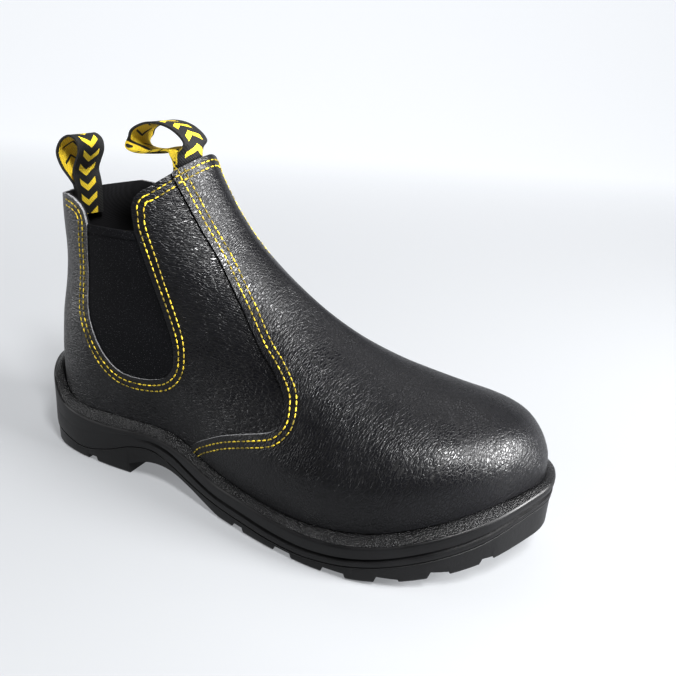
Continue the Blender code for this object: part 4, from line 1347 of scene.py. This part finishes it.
def midsole_rows(grid, facing):
    """Loops of the midsole from its underside up round the bead and down into the cup."""
    def line(name, lift=0.0):
        return lambda reach: side_height(reach, name) + lift

    def at(inset, name, lift=0.0, extra=0.0):
        return outline(inset, line(name, lift), extra, SOLE_STATIONS)

    reach = at(0.0, "rim")[:, 0]
    fade = ease((reach / SOLE_LENGTH - GROOVE_START) / GROOVE_RUN)[:, None]
    band, lip = 0.4 * BEAD_RADIUS, 0.3 * BEAD_RADIUS
    rows = [
        at(SPLIT_INSET + 0.001, "split", 0.5 * GAP),
        at(SPLIT_INSET, "split", 0.5 * GAP),
        at(SPLIT_INSET - 0.0003, "split", 0.0004),
        at(band, "split", 0.0011),
        at(band - 0.0002, "split", 0.0020),
    ]
    low = at(lip, "groove", -GROOVE_HALF)
    middle = at(band, "groove")
    deep = at(band + GROOVE_DEPTH, "groove")
    high = at(lip, "groove", GROOVE_HALF)
    rows.append(rows[-1] * 0.5 + low * 0.5)
    rows += [low - (0.0, 0.0, LIP_ROUND), low]
    rows += [middle + (deep - middle) * fade * share + (0.0, 0.0, drop * GROOVE_HALF)
             for share, drop in ((0.75, -0.45), (1.0, 0.0), (0.75, 0.45))]
    rows += [high, high + (0.0, 0.0, LIP_ROUND)]
    bead = at(0.0, "bead", -0.4 * BEAD_RADIUS, 0.2 * BACK_BEVEL)
    top = at(0.6 * BEAD_RADIUS, "bead", 0.8 * BEAD_RADIUS, 0.6 * BACK_BEVEL)
    rows.append(rows[-1] * 0.5 + (bead - (0.0, 0.0, LIP_HEIGHT)) * 0.5)
    rows += [bead - (0.0, 0.0, LIP_HEIGHT), bead - (0.0, 0.0, LIP_ROUND), bead]
    rows += [at(0.15 * BEAD_RADIUS, "bead", 0.25 * BEAD_RADIUS, 0.3 * BACK_BEVEL),
             at(0.6 * BEAD_RADIUS, "bead", 0.6 * BEAD_RADIUS, 0.5 * BACK_BEVEL), top]
    cup = grid[:2] + GAP * facing[:2]
    rim = cup[1]
    for share in (0.12, 0.3, 0.5, 0.7, 0.86, 0.96):
        bulge = RIM_BULGE * np.sin(np.pi * share)
        rows.append(top + (rim - top) * share + (0.0, 0.0, bulge))
    rows += [rim, rim - (0.0, 0.0, LIP_HEIGHT), cup[0] - (0.0, 0.0, GAP)]
    return rows


class BOOT_OT_outsole(Operator):
    """Make the tread unit with its heel, arch and lugs"""

    bl_idname = "boot.outsole"
    bl_label = "Outsole"

    def execute(self, context):
        colours = context.scene.boot_colours

        def under(lift):
            return lambda reach: floor_height(reach) + lift

        def split(lift):
            return lambda reach: side_height(reach, "split") + lift

        def at(inset, heights, extra=0.0):
            return outline(inset, heights, extra, SOLE_STATIONS)

        rows = [
            at(SPLIT_INSET + TREAD_BEVEL, under(0.0), BACK_BEVEL),
            at(SPLIT_INSET + 0.75 * TREAD_BEVEL, under(0.18 * TREAD_BEVEL), 0.8 * BACK_BEVEL),
            at(SPLIT_INSET + 0.3 * TREAD_BEVEL, under(0.7 * TREAD_BEVEL), 0.4 * BACK_BEVEL),
            at(SPLIT_INSET + 0.1 * TREAD_BEVEL, under(1.3 * TREAD_BEVEL), 0.2 * BACK_BEVEL),
            at(SPLIT_INSET, split(-0.0009)),
            at(SPLIT_INSET - 0.0004, split(-0.5 * GAP - 0.0002)),
            at(SPLIT_INSET, split(-0.5 * GAP)),
        ]
        rubber = moulded("Dense tread", colours.sole, 0.46, 0.0016, 0.00010)
        shape = skin(moved_home(np.array(rows)), mapped=False, capped=True)
        piece = finish_piece("tread_unit", shape, [rubber], SOLE_ANGLE)
        span = TREAD_START - HEEL_BREAST
        arch = [(HEEL_BREAST + row.run * span, row.height * ARCH_HEIGHT) for row in ARCH]
        area = [(HEEL_BREAST, -ARCH_HEIGHT)] + [tuple(point) for point in smooth_path(arch, 6)]
        area += [(TREAD_START, -ARCH_HEIGHT)]
        cutters = [prism(area)]
        for notch in NOTCHES + (HEEL_NOTCH,):
            cutters += [notch_cutter(notch, -1.0), notch_cutter(notch, 1.0)]
        cut(piece, cutters, smooth=SOLE_ANGLE)
        bevel = piece.modifiers.new("Worn corners", "BEVEL")
        bevel.width = CORNER_ROUND
        bevel.segments = 2
        bevel.limit_method = "ANGLE"
        bevel.angle_limit = np.radians(CORNER_ANGLE)
        settle(piece, SOLE_ANGLE)
        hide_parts("outsole")
        return {"FINISHED"}


def notch_cutter(notch, side):
    """A sloped channel from one side of the tread towards its middle rib."""
    middle = notch.reach * SOLE_LENGTH
    width = 0.5 * notch.width * SOLE_LENGTH
    bottom = float(floor_height(np.array(middle)))
    start = 0.5 * CENTRE_RIB
    shape = bmesh.new()
    bmesh.ops.create_cube(shape, size=1.0)
    for vert in shape.verts:
        high = vert.co.z > 0.0
        half = width - CHANNEL_SLOPE if high else width + CHANNEL_SLOPE
        across = start if vert.co.y < 0.0 else BALL_WIDTH
        along = half if vert.co.x > 0.0 else -half
        reach = middle + along + notch.lean * (across - start) - HEEL_TREAD_MIDDLE
        vert.co = (reach, side * across, bottom + (LUG_DEPTH if high else -LUG_DEPTH))
    shape.normal_update()
    bmesh.ops.recalc_face_normals(shape, faces=shape.faces)
    return cutter_from(shape)


class BOOT_OT_footbed(Operator):
    """Make the footbed"""

    bl_idname = "boot.footbed"
    bl_label = "Footbed"

    def execute(self, context):
        colours = context.scene.boot_colours
        coarse = upper_surface(SOLE_STATIONS)
        low = coarse[0] - (WALL + 2.0 * GAP) * normals(coarse)[0]
        high = low + (0.0, 0.0, INSOLE_THICKNESS)
        inward = high.copy()
        inward[:, 1] *= 0.97
        rows = [low, high - (0.0, 0.0, 0.0008), inward]
        shape = skin(moved_home(np.array(rows)), mapped=False, capped=True)
        cloth = woven("Footbed cloth", colours.lining, 0.0012, 0.00015, source="Object")
        piece = finish_piece("footbed", shape, [cloth])
        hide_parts("insole")
        return {"FINISHED"}


class BOOT_OT_pull_loops(Operator):
    """Make the woven loops at the back and the front of the collar"""

    bl_idname = "boot.pull_loops"
    bl_label = "Pull loops"

    def execute(self, context):
        sizes, colours = context.scene.boot_sizes, context.scene.boot_colours
        grid = upper_surface()
        inside = grid - WALL * normals(grid)
        outer = webbing_face("Black webbing", sizes, colours.webbing, colours.thread, 0.42)
        inner = webbing_face("Yellow webbing", sizes, colours.thread, colours.webbing, 0.16)
        loops = (("back_loop", BACK_LOOP, (BACK_LOOP_DEPTH, BACK_LOOP_HEIGHT), 0, COLLAR_BACK_HEIGHT),
                 ("front_loop", FRONT_LOOP, (FRONT_LOOP_DEPTH, FRONT_LOOP_HEIGHT), STATIONS,
                  COLLAR_FRONT_HEIGHT))
        for name, table, size, end, top in loops:
            piece = webbing_loop(name, table, size, inside, end, top, outer, inner)
            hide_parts("pull_" + "_".join(reversed(name.split("_"))))
        return {"FINISHED"}


def webbing_loop(name, table, size, inside, end, top, outer, inner):
    """A webbing loop whose two ends are tucked inside the collar."""
    facing = -1.0 if end else 1.0
    tail = top - STRAP_TUCK
    heights = np.linspace(tail, top, 3)
    middle = wall_reach(inside, heights, end, 0.0)
    edge = wall_reach(inside, heights, end, 0.5 * STRAP_WIDTH)
    near = middle + facing * (GAP + 0.5 * STRAP_THICKNESS)
    far = near + facing * (STRAP_THICKNESS + GAP)
    points = [(near + row.along * size[0], top + row.up * size[1]) for row in table]
    points[-1] = (far, points[-1][1])
    points = [(near, tail), (near, 0.5 * (tail + top))] + points
    points += [(far, 0.5 * (tail + top)), (far, tail)]
    path = smooth_path(points, 8)
    fade = 1.0 - ease((path[:, 1] - top) / (0.5 * size[1]))
    bow = (edge - middle + facing * GAP) * fade
    along = np.gradient(path, axis=0)
    along /= np.linalg.norm(along, axis=1, keepdims=True)
    across = np.stack([-along[:, 1], along[:, 0]], axis=1)
    lanes = np.linspace(-1.0, 1.0, 13)
    thick = 0.5 * STRAP_THICKNESS * (0.86 + 0.14 * np.abs(lanes) ** 8)
    loop = np.concatenate([lanes, lanes[::-1]])
    depth = np.concatenate([-thick, thick])
    rows = np.stack([
        path[:, 0:1] + across[:, 0:1] * depth + bow[:, None] * loop * loop,
        np.repeat(0.5 * loop[None] * STRAP_WIDTH, len(path), axis=0),
        path[:, 1:2] + across[:, 1:2] * depth,
    ], axis=2)
    shape = skin(moved_home(rows))
    bmesh.ops.holes_fill(shape, edges=[item for item in shape.edges if item.is_boundary], sides=0)
    bmesh.ops.recalc_face_normals(shape, faces=shape.faces)
    layer_uv = shape.loops.layers.uv["Surface"]
    for face in shape.faces:
        centre = face.loops[0][layer_uv].uv[0]
        face.material_index = 0 if centre < STRAP_WIDTH * 1.01 else 1
    materials = [outer, inner] if end else [inner, outer]
    return finish_piece(name, shape, materials, 50.0)


class BOOT_OT_stage(Operator):
    """Set the floor, the backdrop, the lights and the camera"""

    bl_idname = "boot.stage"
    bl_label = "Stage"

    def execute(self, context):
        colours = context.scene.boot_colours
        shape = bmesh.new()
        bmesh.ops.create_grid(shape, x_segments=2, y_segments=60, size=1.0)
        for vert in shape.verts:
            run = vert.co.y * FLOOR_SIZE[1]
            bend = max(0.0, run - BACKDROP_START)
            turn = min(bend, 0.5 * np.pi)
            past = max(0.0, bend - 0.5 * np.pi)
            away = min(run, BACKDROP_START) + np.sin(turn)
            vert.co = (vert.co.x * FLOOR_SIZE[0], away, 1.0 - np.cos(turn) + past)
        turn = Matrix.Rotation(np.radians(VIEW_TURN), 4, "Z")
        bmesh.ops.transform(shape, matrix=turn, verts=shape.verts)
        mesh = bpy.data.meshes.new("floor")
        shape.to_mesh(mesh)
        shape.free()
        floor = bpy.data.objects.new("floor", mesh)
        context.collection.objects.link(floor)
        material, shader = new_material("Pale floor", 0.90, [0.20 * channel for channel in colours.floor])
        shader.inputs["Emission Color"].default_value = (*colours.floor, 1.0)
        nodes = Nodes(material)
        spot = nodes.place(turn=np.radians(-VIEW_TURN))
        ahead = nodes.add("ShaderNodeSeparateXYZ", {"Vector": spot}, output=1)
        near = nodes.ramp(ahead, -0.9, -0.25, 0.05, 0.34)
        far = nodes.ramp(ahead, 0.0, 1.3, 0.0, 0.53)
        nodes.link(nodes.maths("ADD", near, far), shader, "Emission Strength")
        mesh.materials.append(material)
        mesh.shade_smooth()
        world = context.scene.world or bpy.data.worlds.new("Studio")
        context.scene.world = world
        world.use_nodes = True
        sky = world.node_tree.nodes["Background"].inputs
        sky["Color"].default_value = (0.96, 0.98, 1.0, 1.0)
        sky["Strength"].default_value = 0.05
        for name, spot, target, size, power in LIGHTS:
            lamp = bpy.data.lights.new(name, "AREA")
            lamp.shape = "RECTANGLE"
            lamp.size, lamp.size_y = size
            lamp.energy = power
            light = bpy.data.objects.new(name, lamp)
            light.location = spot
            light.rotation_euler = (Vector(spot) - Vector(target)).to_track_quat("Z", "Y").to_euler()
            context.collection.objects.link(light)
        lens = bpy.data.cameras.new("Camera")
        lens.sensor_width = 36.0
        lens.lens = VIEW_LENS
        camera = bpy.data.objects.new("Camera", lens)
        turn, tilt, roll = np.radians((VIEW_TURN, VIEW_TILT, VIEW_ROLL))
        back = np.array([np.sin(turn) * np.cos(tilt), -np.cos(turn) * np.cos(tilt), np.sin(tilt)])
        right = np.array([np.cos(turn), np.sin(turn), 0.0])
        up = np.cross(back, right)
        right, up = right * np.cos(roll) + up * np.sin(roll), up * np.cos(roll) - right * np.sin(roll)
        place = Matrix([list(row) for row in np.column_stack([right, up, back])]).to_4x4()
        camera.matrix_world = Matrix.Translation(VIEW_PLACE) @ place
        context.collection.objects.link(camera)
        context.scene.camera = camera
        context.scene.view_settings.view_transform = "Standard"
        context.scene.view_settings.gamma = 0.80
        return {"FINISHED"}


LIGHTS = (
    ("Back softbox", (0.0, 0.75, 1.30), (0.12, 0.0, 0.0), (1.2, 0.6), 6.0),
    ("Toe softbox", (1.05, 0.06, 0.46), (0.20, 0.0, 0.08), (0.36, 0.34), 27.0),
    ("Instep softbox", (0.75, 0.02, 0.75), (0.10, 0.0, 0.08), (0.20, 0.60), 2.0),
    ("Streak softbox", (0.56, -0.39, 0.90), (0.08, 0.0, 0.10), (0.14, 0.30), 15.0),
    ("Heel softbox", (-0.90, -0.36, 0.30), (0.0, 0.0, 0.05), (0.50, 0.50), 7.0),
)

STEPS = ("upper", "vamp", "heel_strip", "gores", "stitching", "midsole", "outsole", "footbed",
         "pull_loops", "stage")


class BOOT_PT_panel(Panel):
    """Sizes, colours and steps of the boot"""

    bl_idname = "BOOT_PT_panel"
    bl_label = "Boot"
    bl_space_type = "VIEW_3D"
    bl_region_type = "UI"
    bl_category = "Boot"

    def draw(self, context):
        layout = self.layout
        for group in (context.scene.boot_sizes, context.scene.boot_colours):
            box = layout.box()
            for name in group.__annotations__:
                box.prop(group, name)
        for step in STEPS:
            layout.operator("boot." + step)


CLASSES = (BootSizes, BootColours, BOOT_OT_upper, BOOT_OT_vamp, BOOT_OT_heel_strip, BOOT_OT_gores,
           BOOT_OT_stitching, BOOT_OT_midsole, BOOT_OT_outsole, BOOT_OT_footbed, BOOT_OT_pull_loops,
           BOOT_OT_stage, BOOT_PT_panel)


def register():
    for item in CLASSES:
        bpy.utils.register_class(item)
    bpy.types.Scene.boot_sizes = PointerProperty(type=BootSizes)
    bpy.types.Scene.boot_colours = PointerProperty(type=BootColours)


def unregister():
    del bpy.types.Scene.boot_colours
    del bpy.types.Scene.boot_sizes
    for item in reversed(CLASSES):
        bpy.utils.unregister_class(item)


def main():
    register()
    for step in STEPS:
        getattr(bpy.ops.boot, step)()


if __name__ == "__main__":
    main()
